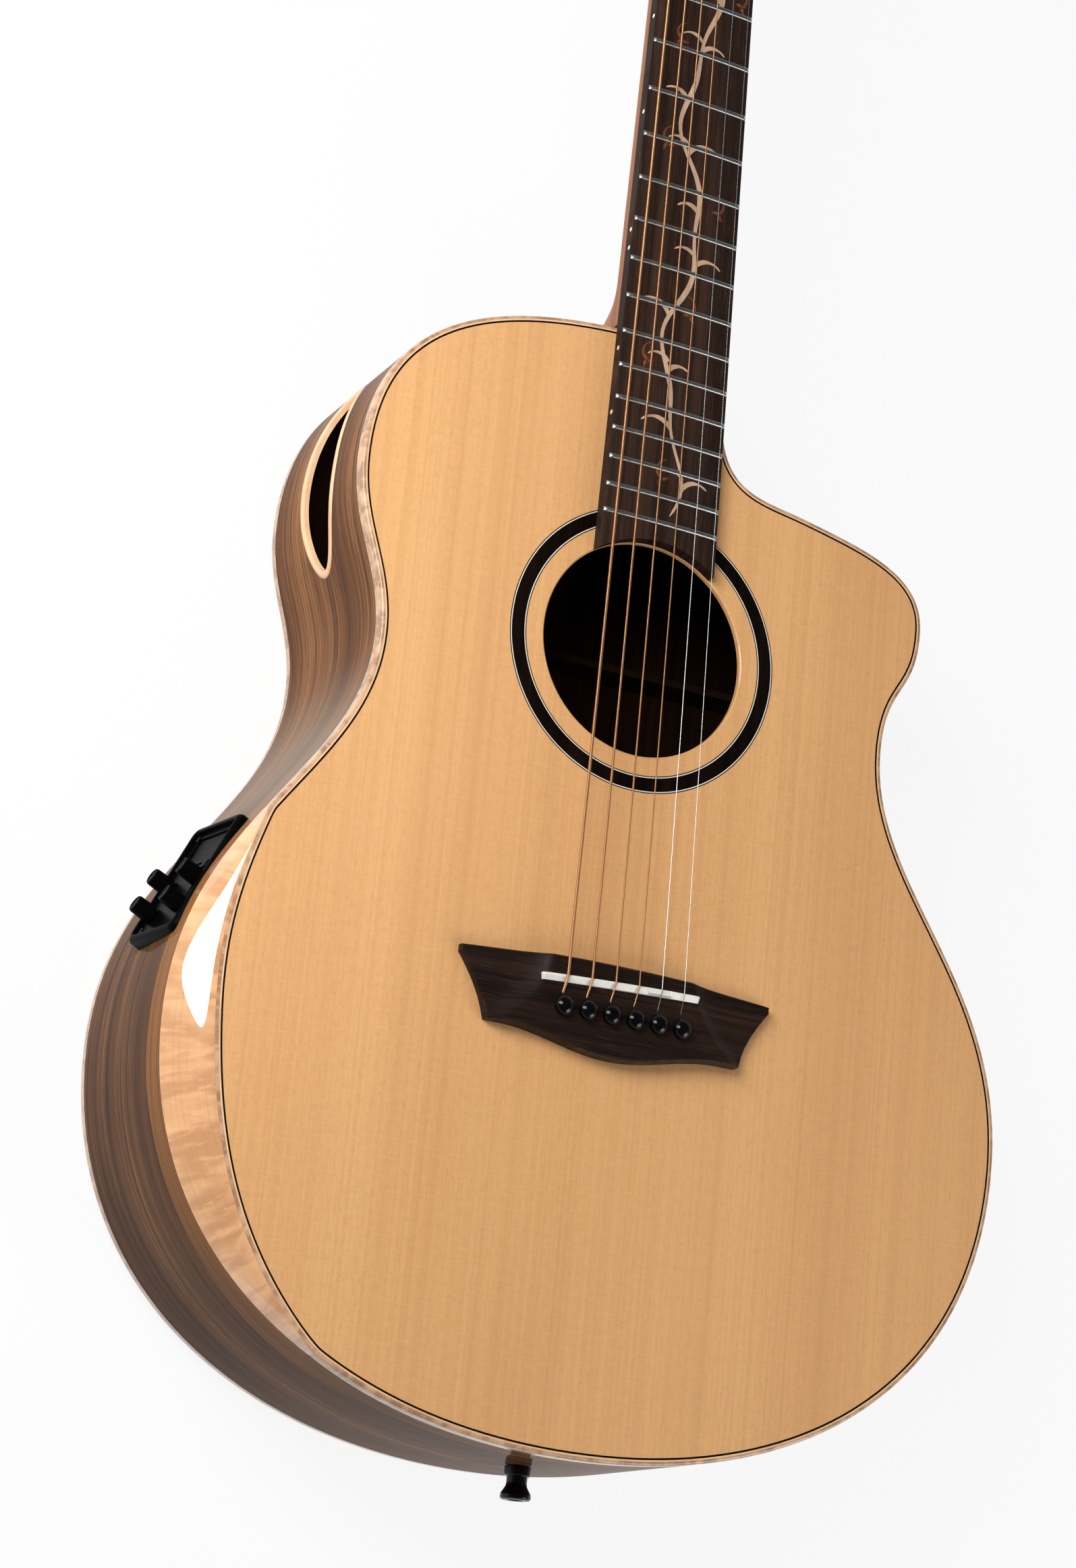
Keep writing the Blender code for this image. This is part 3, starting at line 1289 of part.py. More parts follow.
def winding(index, at_nut):
    """Points of the turns on a post, from where the string meets it."""
    side, u = tuner_of(index)
    radius = STRING_RADII[index]
    coil = POST_RADIUS + GAP + radius
    local = HEAD.inverted() @ at_nut
    centre = Vector((side * TUNER_X, u))
    away = Vector((local.x, local.y)) - centre
    turn = -side
    start = math.atan2(away.y, away.x) + turn * math.acos(coil / away.length)
    pitch = 2 * radius + WINDING_SELF_GAP
    points = []
    for k in range(int(WINDING_TURNS * POINTS_PER_TURN) + 1):
        share = k / POINTS_PER_TURN
        angle = start + turn * 2 * math.pi * share
        spot = (centre.x + coil * math.cos(angle), centre.y + coil * math.sin(angle))
        points.append(tuple(HEAD @ Vector((*spot, WINDING_HEIGHT + pitch * share))))
    return points


def report_self_gap(index, points):
    """Prints the least gap between turns of one winding."""
    spots = np.array(points)
    least = min(
        np.linalg.norm(spots[k] - spots[j])
        for k in range(len(spots))
        for j in range(k + POINTS_PER_TURN // 2, len(spots))
    )
    gap = (least - 2 * STRING_RADII[index]) * 1000
    print(f"string_{index + 1}: least gap between turns {gap:.2f} mm")


def make_strings(wound, plain):
    for index in range(6):
        path = string_path(index)
        turns = winding(index, Vector(path[3]))
        report_self_gap(index, turns)
        finish = wound if index < 4 else plain
        wire(f"string_{index + 1}", [*path[:4], *turns], STRING_RADII[index], finish)


# Tuners


def gear_level():
    """Depth of the worm's axis under the headstock's face."""
    return -HEADSTOCK_THICKNESS - GAP - TUNER_PLATE_THICKNESS - GEARBOX_HEIGHT / 2


def worm_offset():
    return GEAR_RADIUS + WORM_RADIUS + GAP


def gearbox_centre(u):
    return u + worm_offset() / 2


def make_tuner_plate(side, name, finish):
    """A plate with three gear boxes under the headstock and three bushings through it."""
    places = [u for s, u in tuner_places() if s == side]
    first, last = min(places), max(places)
    top = -HEADSTOCK_THICKNESS - GAP
    x = side * TUNER_X
    half = TUNER_PLATE_WIDTH / 2
    low = (x - half, first - TUNER_PLATE_END, top - TUNER_PLATE_THICKNESS)
    plate = box(name, low, (x + half, last + TUNER_PLATE_END + worm_offset(), top), finish, HEAD)
    boxes, hollows, bores, shafts, bushings = [], [], [], [], []
    for u in places:
        near, far = gearbox_centre(u) - GEARBOX_LENGTH / 2, gearbox_centre(u) + GEARBOX_LENGTH / 2
        floor = top - TUNER_PLATE_THICKNESS - GEARBOX_HEIGHT
        roof = top - TUNER_PLATE_THICKNESS / 2
        w, skin = GEARBOX_WIDTH / 2 - GEARBOX_INSET, GEARBOX_WALL
        boxes.append(box("box", (x - w, near, floor), (x + w, far, roof), None, HEAD))
        corner = (x + w - skin, far - skin, top - TUNER_PLATE_THICKNESS)
        hollows.append(box("room", (x - w + skin, near + skin, floor + skin), corner, None, HEAD))
        matrix = HEAD @ Matrix.Translation((x, u, 0))
        tube, flange = POST_RADIUS + POST_BORE_CLEARANCE + BUSHING_WALL, BUSHING_FLANGE_RADIUS
        above = GAP + BUSHING_FLANGE_THICKNESS
        profile = [(top - TUNER_PLATE_THICKNESS / 2, tube), (GAP, tube), (GAP, flange), (above, flange)]
        bushings.append(turned("bushing", profile, matrix, sides=12, smooth=False))
        bore = POST_RADIUS + POST_BORE_CLEARANCE
        profile = [(floor + POST_WELL, bore), (OVERSHOOT, bore)]
        bores.append(turned("bore", profile, matrix, sides=12, smooth=False))
        shaft = BUTTON_SHAFT_RADIUS + POST_BORE_CLEARANCE
        y, z = u + worm_offset(), gear_level()
        ends = [HEAD @ Vector((x + side * reach, y, z)) for reach in TUNER_SHAFT_CUT]
        shafts.append(tube_between("shaft", *ends, shaft, 10))
    fuse(plate, joined(name + "_boxes", boxes))
    fuse(plate, joined(name + "_bushings", bushings))
    cut(plate, joined(name + "_rooms", hollows))
    cut(plate, joined(name + "_bores", bores))
    cut(plate, joined(name + "_shafts", shafts))


def make_tuners(metal, button_finish):
    make_tuner_plate(-1, "tuner_plate_bass", metal)
    make_tuner_plate(1, "tuner_plate_treble", metal)
    for index, (side, u) in enumerate(tuner_places()):
        make_post(index, side, u, metal)
        make_button(index, side, u, button_finish)


def make_post(index, side, u, finish):
    matrix = HEAD @ Matrix.Translation((side * TUNER_X, u, 0))
    level, half = gear_level(), GEAR_THICKNESS / 2
    r, gear = POST_RADIUS, GEAR_RADIUS
    profile = [(level - half, gear), (level + half, gear), (level + half, r)]
    profile += [(POST_HEIGHT - POST_CHAMFER, r), (POST_HEIGHT, r - POST_CHAMFER)]
    post = turned(f"tuner_post_{index + 1}", profile, matrix, finish, sides=10, origin=matrix.translation)
    hole = POST_HEIGHT - STRING_HOLE_BELOW_TOP
    ends = [matrix @ Vector((reach, 0, hole)) for reach in (-2 * r, 2 * r)]
    cut(post, tube_between(f"string_hole_{index + 1}", *ends, STRING_HOLE_RADIUS, 8))


def make_button(index, side, u, finish):
    """Worm, shaft and oval button as one turned piece on the shaft's axis."""
    centre = HEAD @ Vector((side * TUNER_X, u + worm_offset(), gear_level()))
    across = HEAD.col[1].to_3d()
    normal = HEAD.col[2].to_3d()
    axis = Vector((side, 0, 0))
    matrix = axes_matrix(centre, across * side, normal, axis)
    half = WORM_LENGTH / 2
    edge = HEADSTOCK_HALF_WIDTH - TUNER_X + BUTTON_STANDOFF
    shaft = BUTTON_SHAFT_RADIUS
    wide, thick = BUTTON_HALF_WIDTH, BUTTON_HALF_THICKNESS
    profile = [(-half, WORM_RADIUS), (half, WORM_RADIUS), (half, shaft), (edge, shaft)]
    profile += [(edge, shaft * 2, shaft * 1.5)]
    for share, grow in ((0.25, 0.90), (0.65, 1.0), (1.0, 0.50)):
        profile.append((edge + BUTTON_LENGTH * share, wide * grow, thick * grow**0.6))
    turned(f"tuner_button_{index + 1}", profile, matrix, finish, sides=10, origin=centre)


# Preamp


def preamp_matrix():
    """Local axes of the panel: X towards the neck, Y towards the back, Z outwards."""
    spot, normal = at_arc(BASS, PREAMP_ARC)
    x, y = spot + normal * PREAMP_STANDOUT
    level = Matrix.Rotation(PREAMP_TURN, 3, "Z") @ Vector((*normal, 0))
    along = level.cross(Vector((0, 0, 1)))
    out = level * math.cos(PREAMP_LEAN) + Vector((0, 0, 1)) * math.sin(PREAMP_LEAN)
    return axes_matrix((x, y, TOP_Z - PREAMP_BELOW_TOP), along, out.cross(along), out)


PREAMP = preamp_matrix()


def preamp_block(name, length, width, low, high, grow=0.0, finish=None):
    x, y = length / 2 + grow, width / 2 + grow
    return box(name, (-x, -y, low), (x, y, high), finish, PREAMP)


def box_back(x, y):
    """A place just behind the preamp's box, where a lead arrives."""
    return PREAMP @ Vector((x, y, -PREAMP_PLUG_DEPTH - PREAMP_BOX_DEPTH - 2 * GAP))


def preamp_blank(finish):
    """The panel's block, with rounded plan corners and a chamfered outer edge."""
    def ring(x_half, y_half, z):
        points = []
        for turn in range(4):
            sx, sy = ((1, 1), (-1, 1), (-1, -1), (1, -1))[turn]
            for step in range(3):
                a = math.pi / 2 * (turn + step / 2)
                x = sx * (x_half - PREAMP_CORNER) + PREAMP_CORNER * math.cos(a)
                y = sy * (y_half - PREAMP_CORNER) + PREAMP_CORNER * math.sin(a)
                points.append((x, y, z))
        return framed(PREAMP, points)

    x, y, edge = PREAMP_LENGTH / 2, PREAMP_WIDTH / 2, PREAMP_CHAMFER
    rings = [ring(x, y, -PREAMP_BLOCK_DEPTH), ring(x, y, -edge), ring(x - edge, y - edge, 0.0)]
    return loft("preamp_bezel", rings, finish)


def knob_places():
    return [(KNOB_FIRST - KNOB_SPACING * column, KNOB_ROW * row) for column in (0, 1) for row in (-1, 1)]


def make_preamp(plastic, battery_finish):
    bezel = preamp_blank(plastic)
    cut(bezel, prism("body_envelope", full_outline(-GAP, -GAP), -OVERSHOOT, TOP_Z + OVERSHOOT))
    plug = (PREAMP_PLUG_LENGTH, PREAMP_PLUG_WIDTH)
    fuse(bezel, preamp_block("preamp_plug", *plug, -PREAMP_PLUG_DEPTH, -PREAMP_PLUG_START))
    rim = 2 * PREAMP_RIM
    inner = (PREAMP_LENGTH - rim, PREAMP_WIDTH - rim)
    cut(bezel, preamp_block("panel_recess", *inner, -PREAMP_RECESS, OVERSHOOT))
    half = inner[1] / 2 - LABEL_MARGIN
    label = (LABEL_START, -half, -PREAMP_RECESS - LABEL_RECESS)
    cut(bezel, box("label_recess", label, (LABEL_END, half, OVERSHOOT), None, PREAMP))
    bore = KNOB_SHAFT_RADIUS + GAP
    holes = []
    for x, y in knob_places():
        matrix = PREAMP @ Matrix.Translation((x, y, 0))
        profile = [(-3 * OVERSHOOT, bore), (OVERSHOOT, bore)]
        holes.append(turned("hole", profile, matrix, sides=10, smooth=False))
    cut(bezel, joined("knob_holes", holes))
    top = -PREAMP_PLUG_DEPTH - GAP
    low = top - PREAMP_BOX_DEPTH
    case = preamp_block("preamp_box", *plug, low, top, 0.0, plastic)
    x, wide, thick = BATTERY_PLACE, BATTERY_WIDTH / 2, BATTERY_THICKNESS / 2
    start, end = low - OVERSHOOT, low + BATTERY_LENGTH + GAP
    pocket = (x - thick - GAP, -wide - GAP, start)
    cut(case, box("battery_pocket", pocket, (x + thick + GAP, wide + GAP, end), None, PREAMP))
    bottom = (x - thick, -wide, low)
    box("battery", bottom, (x + thick, wide, low + BATTERY_LENGTH), battery_finish, PREAMP)
    make_knobs(plastic)


def make_knobs(finish):
    for number, (x, y) in enumerate(knob_places(), 1):
        matrix = PREAMP @ Matrix.Translation((x, y, 0))
        seat = -PREAMP_RECESS + GAP
        shaft, cap = KNOB_SHAFT_RADIUS, KNOB_RADIUS
        profile = [(-PREAMP_PLUG_DEPTH, shaft), (seat, shaft), (seat, cap)]
        profile += [(seat + KNOB_HEIGHT - KNOB_CHAMFER, cap), (seat + KNOB_HEIGHT, cap - KNOB_CHAMFER)]
        turned(f"preamp_knob_{number}", profile, matrix, finish, sides=14, origin=matrix.translation)


# Jack


def jack_matrix():
    """Local axes of the jack: Z into the body, from the ribs' outer face at the tail."""
    return Matrix.Translation((0, TAIL_Y, JACK_Z)) @ Y_UP


def jack_bore(name):
    radius = JACK_BARREL_RADIUS + GAP
    return turned(name, [(-OVERSHOOT, radius), (4 * OVERSHOOT, radius)], jack_matrix(), sides=16)


def make_jack(finish):
    matrix = jack_matrix()
    wall_end = SHELL + TAIL_BLOCK_THICKNESS + GAP
    out = -JACK_STANDOUT
    profile = [
        (out, JACK_FLARE_RADIUS - JACK_FLARE_CHAMFER), (out + JACK_FLARE_CHAMFER, JACK_FLARE_RADIUS),
        (out + JACK_FLARE_LENGTH, JACK_FLARE_RADIUS),
        (out + JACK_FLARE_LENGTH + JACK_FLARE_SLOPE, JACK_NECK_RADIUS),
        (-GAP - JACK_COLLAR_LENGTH, JACK_NECK_RADIUS), (-GAP - JACK_COLLAR_LENGTH, JACK_COLLAR_RADIUS),
        (-GAP, JACK_COLLAR_RADIUS), (-GAP, JACK_BARREL_RADIUS),
        (wall_end, JACK_BARREL_RADIUS), (wall_end, JACK_NUT_RADIUS),
        (wall_end + JACK_NUT_LENGTH, JACK_NUT_RADIUS), (wall_end + JACK_NUT_LENGTH, JACK_BODY_RADIUS),
        (wall_end + JACK_BODY_LENGTH, JACK_BODY_RADIUS),
    ]
    jack = turned("endpin_jack", profile, matrix, finish, sides=16)
    socket = [(out - OVERSHOOT, JACK_SOCKET_RADIUS), (out + JACK_SOCKET_DEPTH, JACK_SOCKET_RADIUS)]
    cut(jack, turned("jack_socket", socket, matrix, sides=12))
    start = matrix @ Vector((0, 0, wall_end + JACK_BODY_LENGTH - OUTPUT_LEAD_START))
    inward = Vector((0, 1, 0))
    inside = box_back(*OUTPUT_LEAD_END)
    away = -PREAMP.col[2].to_3d()
    out_of_box, towards_tail = OUTPUT_LEAD_TURN
    knots = [start, start + inward * OUTPUT_LEAD_STRAIGHT, start + Vector(OUTPUT_LEAD_BEND)]
    knots += [inside + away * out_of_box + inward * towards_tail, inside + away * OUTPUT_LEAD_LAST, inside]
    fuse(jack, tube_mesh("output_lead", knots, LEAD_RADIUS))


def main():
    clear_scene()
    spruce = material("spruce", (0.78, 0.55, 0.30), 0.35)
    rib_wood = material("rib_wood", (0.16, 0.09, 0.06), 0.2)
    maple = material("maple", (0.80, 0.60, 0.36), 0.3)
    binding_wood = material("binding_wood", (0.55, 0.38, 0.22), 0.35)
    block_wood = material("block_wood", (0.50, 0.33, 0.19), 0.6)
    brace_wood = material("brace_wood", (0.74, 0.58, 0.38), 0.7)
    neck_wood = material("neck_wood", (0.33, 0.15, 0.08), 0.4)
    board_wood = material("board_wood", (0.07, 0.04, 0.03), 0.45)
    black_wood = material("black_wood", (0.02, 0.02, 0.02), 0.3)
    bone = material("bone", (0.90, 0.88, 0.82), 0.4)
    black_plastic = material("black_plastic", (0.015, 0.015, 0.016), 0.35)
    bronze = material("bronze", (0.65, 0.38, 0.20), 0.3, 1.0)
    steel = material("steel", (0.70, 0.70, 0.72), 0.25, 1.0)
    dark_metal = material("dark_metal", (0.05, 0.05, 0.055), 0.3, 1.0)
    make_soundboard(spruce)
    make_rosette(black_wood)
    make_back(rib_wood)
    make_ribs(rib_wood)
    make_linings(brace_wood)
    make_bindings(binding_wood, binding_wood)
    make_armrest(maple)
    make_blocks(block_wood)
    make_port_trim(maple)
    make_top_bracing(brace_wood)
    make_bridge_plate(maple)
    make_back_bracing(brace_wood)
    make_neck(neck_wood)
    make_truss_rod(steel)
    make_fretboard(board_wood)
    make_nut(bone)
    make_bridge(board_wood)
    make_saddle(bone)
    make_pickup(steel)
    make_pins(black_plastic)
    make_strings(bronze, steel)
    make_tuners(steel, steel)
    make_preamp(black_plastic, dark_metal)
    make_jack(dark_metal)


main()
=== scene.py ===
"""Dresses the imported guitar: fine surfaces and woods on the CAD frame, with the camera and the lights."""

from math import acos, atan2, copysign, cos, hypot, pi, radians, sin, sqrt, tan
from typing import NamedTuple

import bmesh
import bpy
import numpy as np
from mathutils import Matrix, Vector


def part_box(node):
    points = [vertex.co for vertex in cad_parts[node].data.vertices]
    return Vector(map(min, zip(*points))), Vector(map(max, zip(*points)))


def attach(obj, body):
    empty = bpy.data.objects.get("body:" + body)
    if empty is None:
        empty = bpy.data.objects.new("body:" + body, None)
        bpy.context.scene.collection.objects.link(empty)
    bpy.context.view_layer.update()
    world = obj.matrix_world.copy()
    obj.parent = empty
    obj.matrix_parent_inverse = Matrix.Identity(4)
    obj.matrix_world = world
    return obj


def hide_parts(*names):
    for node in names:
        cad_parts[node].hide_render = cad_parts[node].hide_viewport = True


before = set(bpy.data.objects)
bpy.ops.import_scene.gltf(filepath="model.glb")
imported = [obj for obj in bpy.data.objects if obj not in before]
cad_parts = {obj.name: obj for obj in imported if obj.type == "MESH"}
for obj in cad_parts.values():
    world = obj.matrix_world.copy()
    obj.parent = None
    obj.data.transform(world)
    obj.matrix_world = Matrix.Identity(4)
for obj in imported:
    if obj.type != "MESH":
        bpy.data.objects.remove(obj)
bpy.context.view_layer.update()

# Places read from the frame
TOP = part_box("soundboard")[1].z
BRIDGE_LOW, BRIDGE_TOP = (corner.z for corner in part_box("bridge"))
BODY = "guitar"

# Body outline, as in the solids
TAIL_Y = -0.1968
LOWER = (0.19105, -0.0435)
WAIST = (0.1215, 0.1268)
UPPER = (0.1381, 0.2025)
HORN_Y = 0.1888
SHOULDER_Y = 0.2928
CUTAWAY = (0.0768, 0.2270)
CUTAWAY_ANGLE = 0.19
CUTAWAY_END = (0.0290, 0.2720)
CORNER = 0.0040

# How far each curve of the outline runs on before it bends, in order from the tail
TAIL_PULL = 0.1135
LOWER_PULLS = (0.0952, 0.0809)
WAIST_PULL = 0.0600
BASS_PULLS = (0.03005, 0.0316, 0.0534, 0.1051)
TREBLE_PULLS = (0.0347, 0.0308, 0.0271)
CUTAWAY_PULLS = (0.0325, 0.0266, 0.0440)
CIRCLE_PULL = 0.5523

# Shell and edges
GAP = 0.0003
BINDING = 0.0023
SHELL = 0.0026
SPRUCE_THICK = 0.0028
PURFLING = 0.0008
PALE_LINE = 0.0007
SIDE_LINE = 0.0005
LINE_DEPTH = 0.002
TOP_BINDING_HEIGHT = 0.0065
BACK_BINDING_HEIGHT = 0.0050
TOP_EDGE_ROUND = 0.0011
BACK_EDGE_ROUND = 0.0014
ROUND_GONE = 0.0015
HAIR = 0.00001

# Domed back
BACK_CENTRE_Y = 0.020
BACK_RADII = (2.1, 4.3)
BACK_CROSS = 18.0
BACK_FLAT = 0.0012
BACK_EASE = 3.6e-7
BACK_THICK = 0.003
SEAM_HALF = 0.0012

# Armrest
ARMREST_START = 0.1171
ARMREST_END = 0.3702
ARMREST_INSET = 0.0189
ARMREST_DROP = 0.0050
ARMREST_LEAST = 0.00006
ARMREST_EASE = 0.05
ARMREST_SKEW = 1.082
ARMREST_FULLNESS = 0.904
ARMREST_CROWN = 1.7

# Linings
LINING_END = 0.0023
LINING_WIDE = 0.0060
LINING_NARROW = 0.0020
BACK_SHEET = 0.0033
BACK_LINING_HEIGHT = 0.0142

# Soundhole and sound port, with half lengths and half heights
HOLE_Y = 0.1478
HOLE_R = 0.0477
ROSETTE = (0.0561, 0.0638)
ROSETTE_LINE = 0.00045
ROSETTE_DEPTH = 0.0009
ROSETTE_GROOVE = 0.0010
HOLE_EASE = 0.0006
PORT_ARC = 0.548
PORT_Z = TOP - 0.050
PORT_HOLE = (0.0445, 0.0153)
PORT_TRIM = (0.0480, 0.0190)
PORT_SEAT = 0.0001

# Neck
SCALE = 0.648
NUT_HALF = 0.02145
BODY_HALF = 0.0269
BODY_JOINT = SCALE * 2 ** (-14 / 12)
FRETS = 20
DOT_FRETS = (3, 5, 7, 9, 12, 15, 17)
FRET_HALF = 0.00115
FRET_HEIGHT = 0.0011
BOARD_LOW = TOP + GAP
BOARD_TOP = BOARD_LOW + 0.0066
BOARD_RADIUS = 0.400
NECK_START = SHOULDER_Y + GAP
NECK_DEPTHS = (0.0190, 0.0150)
HEEL_DEPTH = 0.100
HEEL_REACH = 0.0115
NUT_END = SCALE + 0.0055
NUT_HEIGHT = 0.0026

# Headstock and tuners, from bass to treble: side and distance from the nut
HEAD_ANGLE = radians(13.0)
HEAD_LENGTH = 0.186
HEAD_HALF = 0.0365
HEAD_TIP_HALF = 0.0310
HEAD_TIP_ROUND = 0.020
HEAD_FLARE = 0.034
HEAD_THICK = 0.0150
FACE_THICK = 0.0022
THROAT_START = 0.024
THROAT_LENGTH = 0.040
TUNER_X = 0.0220
TUNERS = [(-1, 0.048), (-1, 0.090), (-1, 0.132), (1, 0.132), (1, 0.090), (1, 0.048)]
PLATE_LEVEL = -HEAD_THICK - GAP
PLATE_THICK = 0.0012
PLATE_HALF = 0.0075
PLATE_ENDS = (0.015, 0.0229)
PLATE_SCREWS = (0.0105, 0.0185)
HOUSING_HALF = (0.0071, 0.0115)
HOUSING_LEVELS = (0.0112, 0.0010)
WORM_OFFSET = 0.0079
WORM_LEVEL = PLATE_LEVEL - PLATE_THICK - 0.0050
POST_R = 0.0030
BORE_R = 0.0047

# Bridge, saddle and pins
BRIDGE_HALF = 0.0724
WING_X = 0.0592
WING_HEIGHT = 0.0040
BRIDGE_ROUND = 0.0011
SADDLE_AT = (-0.0008, -0.0040)
SADDLE_SKEW = radians(2.4)
SADDLE_HALF = 0.0367
SADDLE_HIGH = 0.0030
SADDLE_SLOT = (0.0369, 0.0016)
PIN_SPACING = 0.0110
PIN_Y = -0.0168
PIN_HEAD = 0.00425

# Strings from bass to treble
STRING_RADII = (0.00068, 0.00053, 0.00041, 0.00031, 0.00020, 0.00015)
WOUND = 4
WINDING = 0.00028
SADDLE_SPREAD = 0.0546
NUT_SPREAD = 0.0354
COIL_TURNS = 2.5
COIL_STEPS = 28
COIL_LOW = 0.0055
COIL_GAP = 0.00048

# Preamp and jack
PREAMP_HALF = (0.0595 / 2, 0.0455 / 2)
PREAMP_AT = (-0.17908, 0.01813, TOP - 0.0422)
PREAMP_HEADING = radians(65.4957)
PREAMP_LEAN = radians(4.7)
PREAMP_CUT = (0.0247, 0.0172)
PANEL = -0.0022
JACK_OUT = -0.0140
JACK_BORE = 0.0047

# Camera, world and floor
CAMERA_PLACE = Vector((-0.6075, -0.3349, 1.2217 + TOP))
CAMERA_RIGHT = Vector((0.8921, 0.0913, 0.4425))
CAMERA_DOWN = Vector((0.2089, -0.9517, -0.2248))
CAMERA_VIEW = Vector((0.4007, 0.2930, -0.8681))
SENSOR = 36.0
FOCAL_PIXELS = 4985.2
PHOTO_HEIGHT = 2324
WORLD_LEVEL = 0.19
FLOOR_GLOW = 0.88
FLOOR_REACH = 8.0


# Mesh tools


def circle(sides):
    return [2 * pi * k / sides for k in range(sides)]


def at(place, angle=0.0, axis="X"):
    """A place, turned there about one axis."""
    return Matrix.Translation(place) @ Matrix.Rotation(angle, 4, axis)


def placed(name, mesh, body=BODY):
    """Links a mesh as an object that rides on a body."""
    thing = bpy.data.objects.new(name, mesh)
    bpy.context.scene.collection.objects.link(thing)
    if body:
        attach(thing, body)
    return thing


def dress(piece, node=None):
    """Hides the solid of the node that a piece stands for, if one is given."""
    if node:
        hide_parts(node)


def shade(mesh, finish, angle=35):
    mesh.materials.append(finish)
    mesh.shade_smooth()
    mesh.set_sharp_from_angle(angle=radians(angle))


def new_object(name, points, faces, finish, body=BODY, uv=None, angle=35):
    """A shaded object that rides on a body. uv holds a place per point, in metres."""
    mesh = bpy.data.meshes.new(name)
    mesh.from_pydata([tuple(p) for p in points], [], faces)
    if uv is not None:
        layer = mesh.uv_layers.new(name="run")
        for loop in mesh.loops:
            layer.data[loop.index].uv = uv[loop.vertex_index]
    shell = bmesh.new()
    shell.from_mesh(mesh)
    bmesh.ops.recalc_face_normals(shell, faces=shell.faces)
    shell.to_mesh(mesh)
    shell.free()
    shade(mesh, finish, angle)
    return placed(name, mesh, body)


def loft(name, rings, finish, closed=False, body=BODY, uv=None, angle=35):
    """A skin over rings of one size, closed from the last to the first or capped at both ends."""
    count, size = len(rings), len(rings[0])
    faces = []
    for ring in range(count if closed else count - 1):
        here, after = ring * size, (ring + 1) % count * size
        for k in range(size):
            n = (k + 1) % size
            faces.append((here + k, here + n, after + n, after + k))
    if not closed:
        faces += [tuple(range(size)), tuple(range((count - 1) * size, count * size))]
    points = [p for ring in rings for p in ring]
    places = uv and [p for ring in uv for p in ring]
    return new_object(name, points, faces, finish, body, places, angle)


def framed(matrix, points):
    return [tuple(matrix @ Vector(p)) for p in points]


def turned(name, profile, matrix, finish, sides=48, body=BODY, angle=35):
    """Rings of (height, radius) or (height, radius, radius) about the local Z of a matrix."""
    rings = []
    for height, radius, *other in profile:
        second = other[0] if other else radius
        ring = [(radius * cos(a), second * sin(a), height) for a in circle(sides)]
        rings.append(framed(matrix, ring))
    return loft(name, rings, finish, body=body, angle=angle)


def cut(thing, cutter):
    """Cuts at once, so that no modifier or cutter is left."""
    change = thing.modifiers.new("cut", "BOOLEAN")
    change.operation = "DIFFERENCE"
    change.solver = "EXACT"
    change.object = cutter
    bpy.context.view_layer.update()
    graph = bpy.context.evaluated_depsgraph_get()
    mesh = bpy.data.meshes.new_from_object(thing.evaluated_get(graph))
    thing.modifiers.clear()
    thing.data = mesh
    mesh.set_sharp_from_angle(angle=radians(35))
    bpy.data.objects.remove(cutter, do_unlink=True)


def written(name, shape):
    """A new mesh from an edited one, which is freed."""
    mesh = bpy.data.meshes.new(name)
    shape.to_mesh(mesh)
    shape.free()
    return mesh


def joined(name, things):
    """One object from several that share a material."""
    shape = bmesh.new()
    for thing in things:
        shape.from_mesh(thing.data)
    made = written(name, shape)
    made.materials.append(things[0].data.materials[0])
    for thing in things:
        bpy.data.objects.remove(thing, do_unlink=True)
    dress(placed(name, made))


def box(name, low, high, finish, matrix, body=BODY, edge=0.0):
    """A block whose edges are rounded by a small bevel."""
    shape = bmesh.new()
    bmesh.ops.create_cube(shape, size=1.0)
    bmesh.ops.scale(shape, vec=[h - l for l, h in zip(low, high)], verts=shape.verts)
    bmesh.ops.translate(shape, vec=[(h + l) / 2 for l, h in zip(low, high)], verts=shape.verts)
    if edge:
        bmesh.ops.bevel(shape, geom=shape.edges[:], offset=edge, segments=3, profile=0.5, affect="EDGES")
    bmesh.ops.transform(shape, matrix=matrix, verts=shape.verts)
    mesh = written(name, shape)
    shade(mesh, finish)
    return placed(name, mesh, body)


def pocket(thing, low, high, matrix):
    """Cuts a block out of a piece."""
    cut(thing, box("pocket", low, high, thing.data.materials[0], matrix, None))


def drill(thing, low, high, radius, matrix, sides=32):
    """Cuts a round bore along the local Z of a matrix."""
    bore = [(low, radius), (high, radius)]
    cut(thing, turned("bore", bore, matrix, thing.data.materials[0], sides, None))


def sweep(name, points, radius, finish, sides=10):
    """A round tube along points, with the run along it and round it as its UV."""
    rings, uv = [], []
    run, side = 0.0, None
    for k, point in enumerate(points):
        before, after = points[max(0, k - 1)], points[min(len(points) - 1, k + 1)]
        way = (after - before).normalized()
        if side is None:
            side = way.orthogonal().normalized()
        side = (side - way * side.dot(way)).normalized()
        other = way.cross(side)
        run += (point - points[k - 1]).length if k else 0.0
        rings.append([point + (side * cos(a) + other * sin(a)) * radius for a in circle(sides)])
        uv.append([(run, j / sides) for j in range(sides)])
    return loft(name, rings, finish, uv=uv, angle=60)


# Node materials


def scaled(colour, level):
    return tuple(v * level for v in colour)


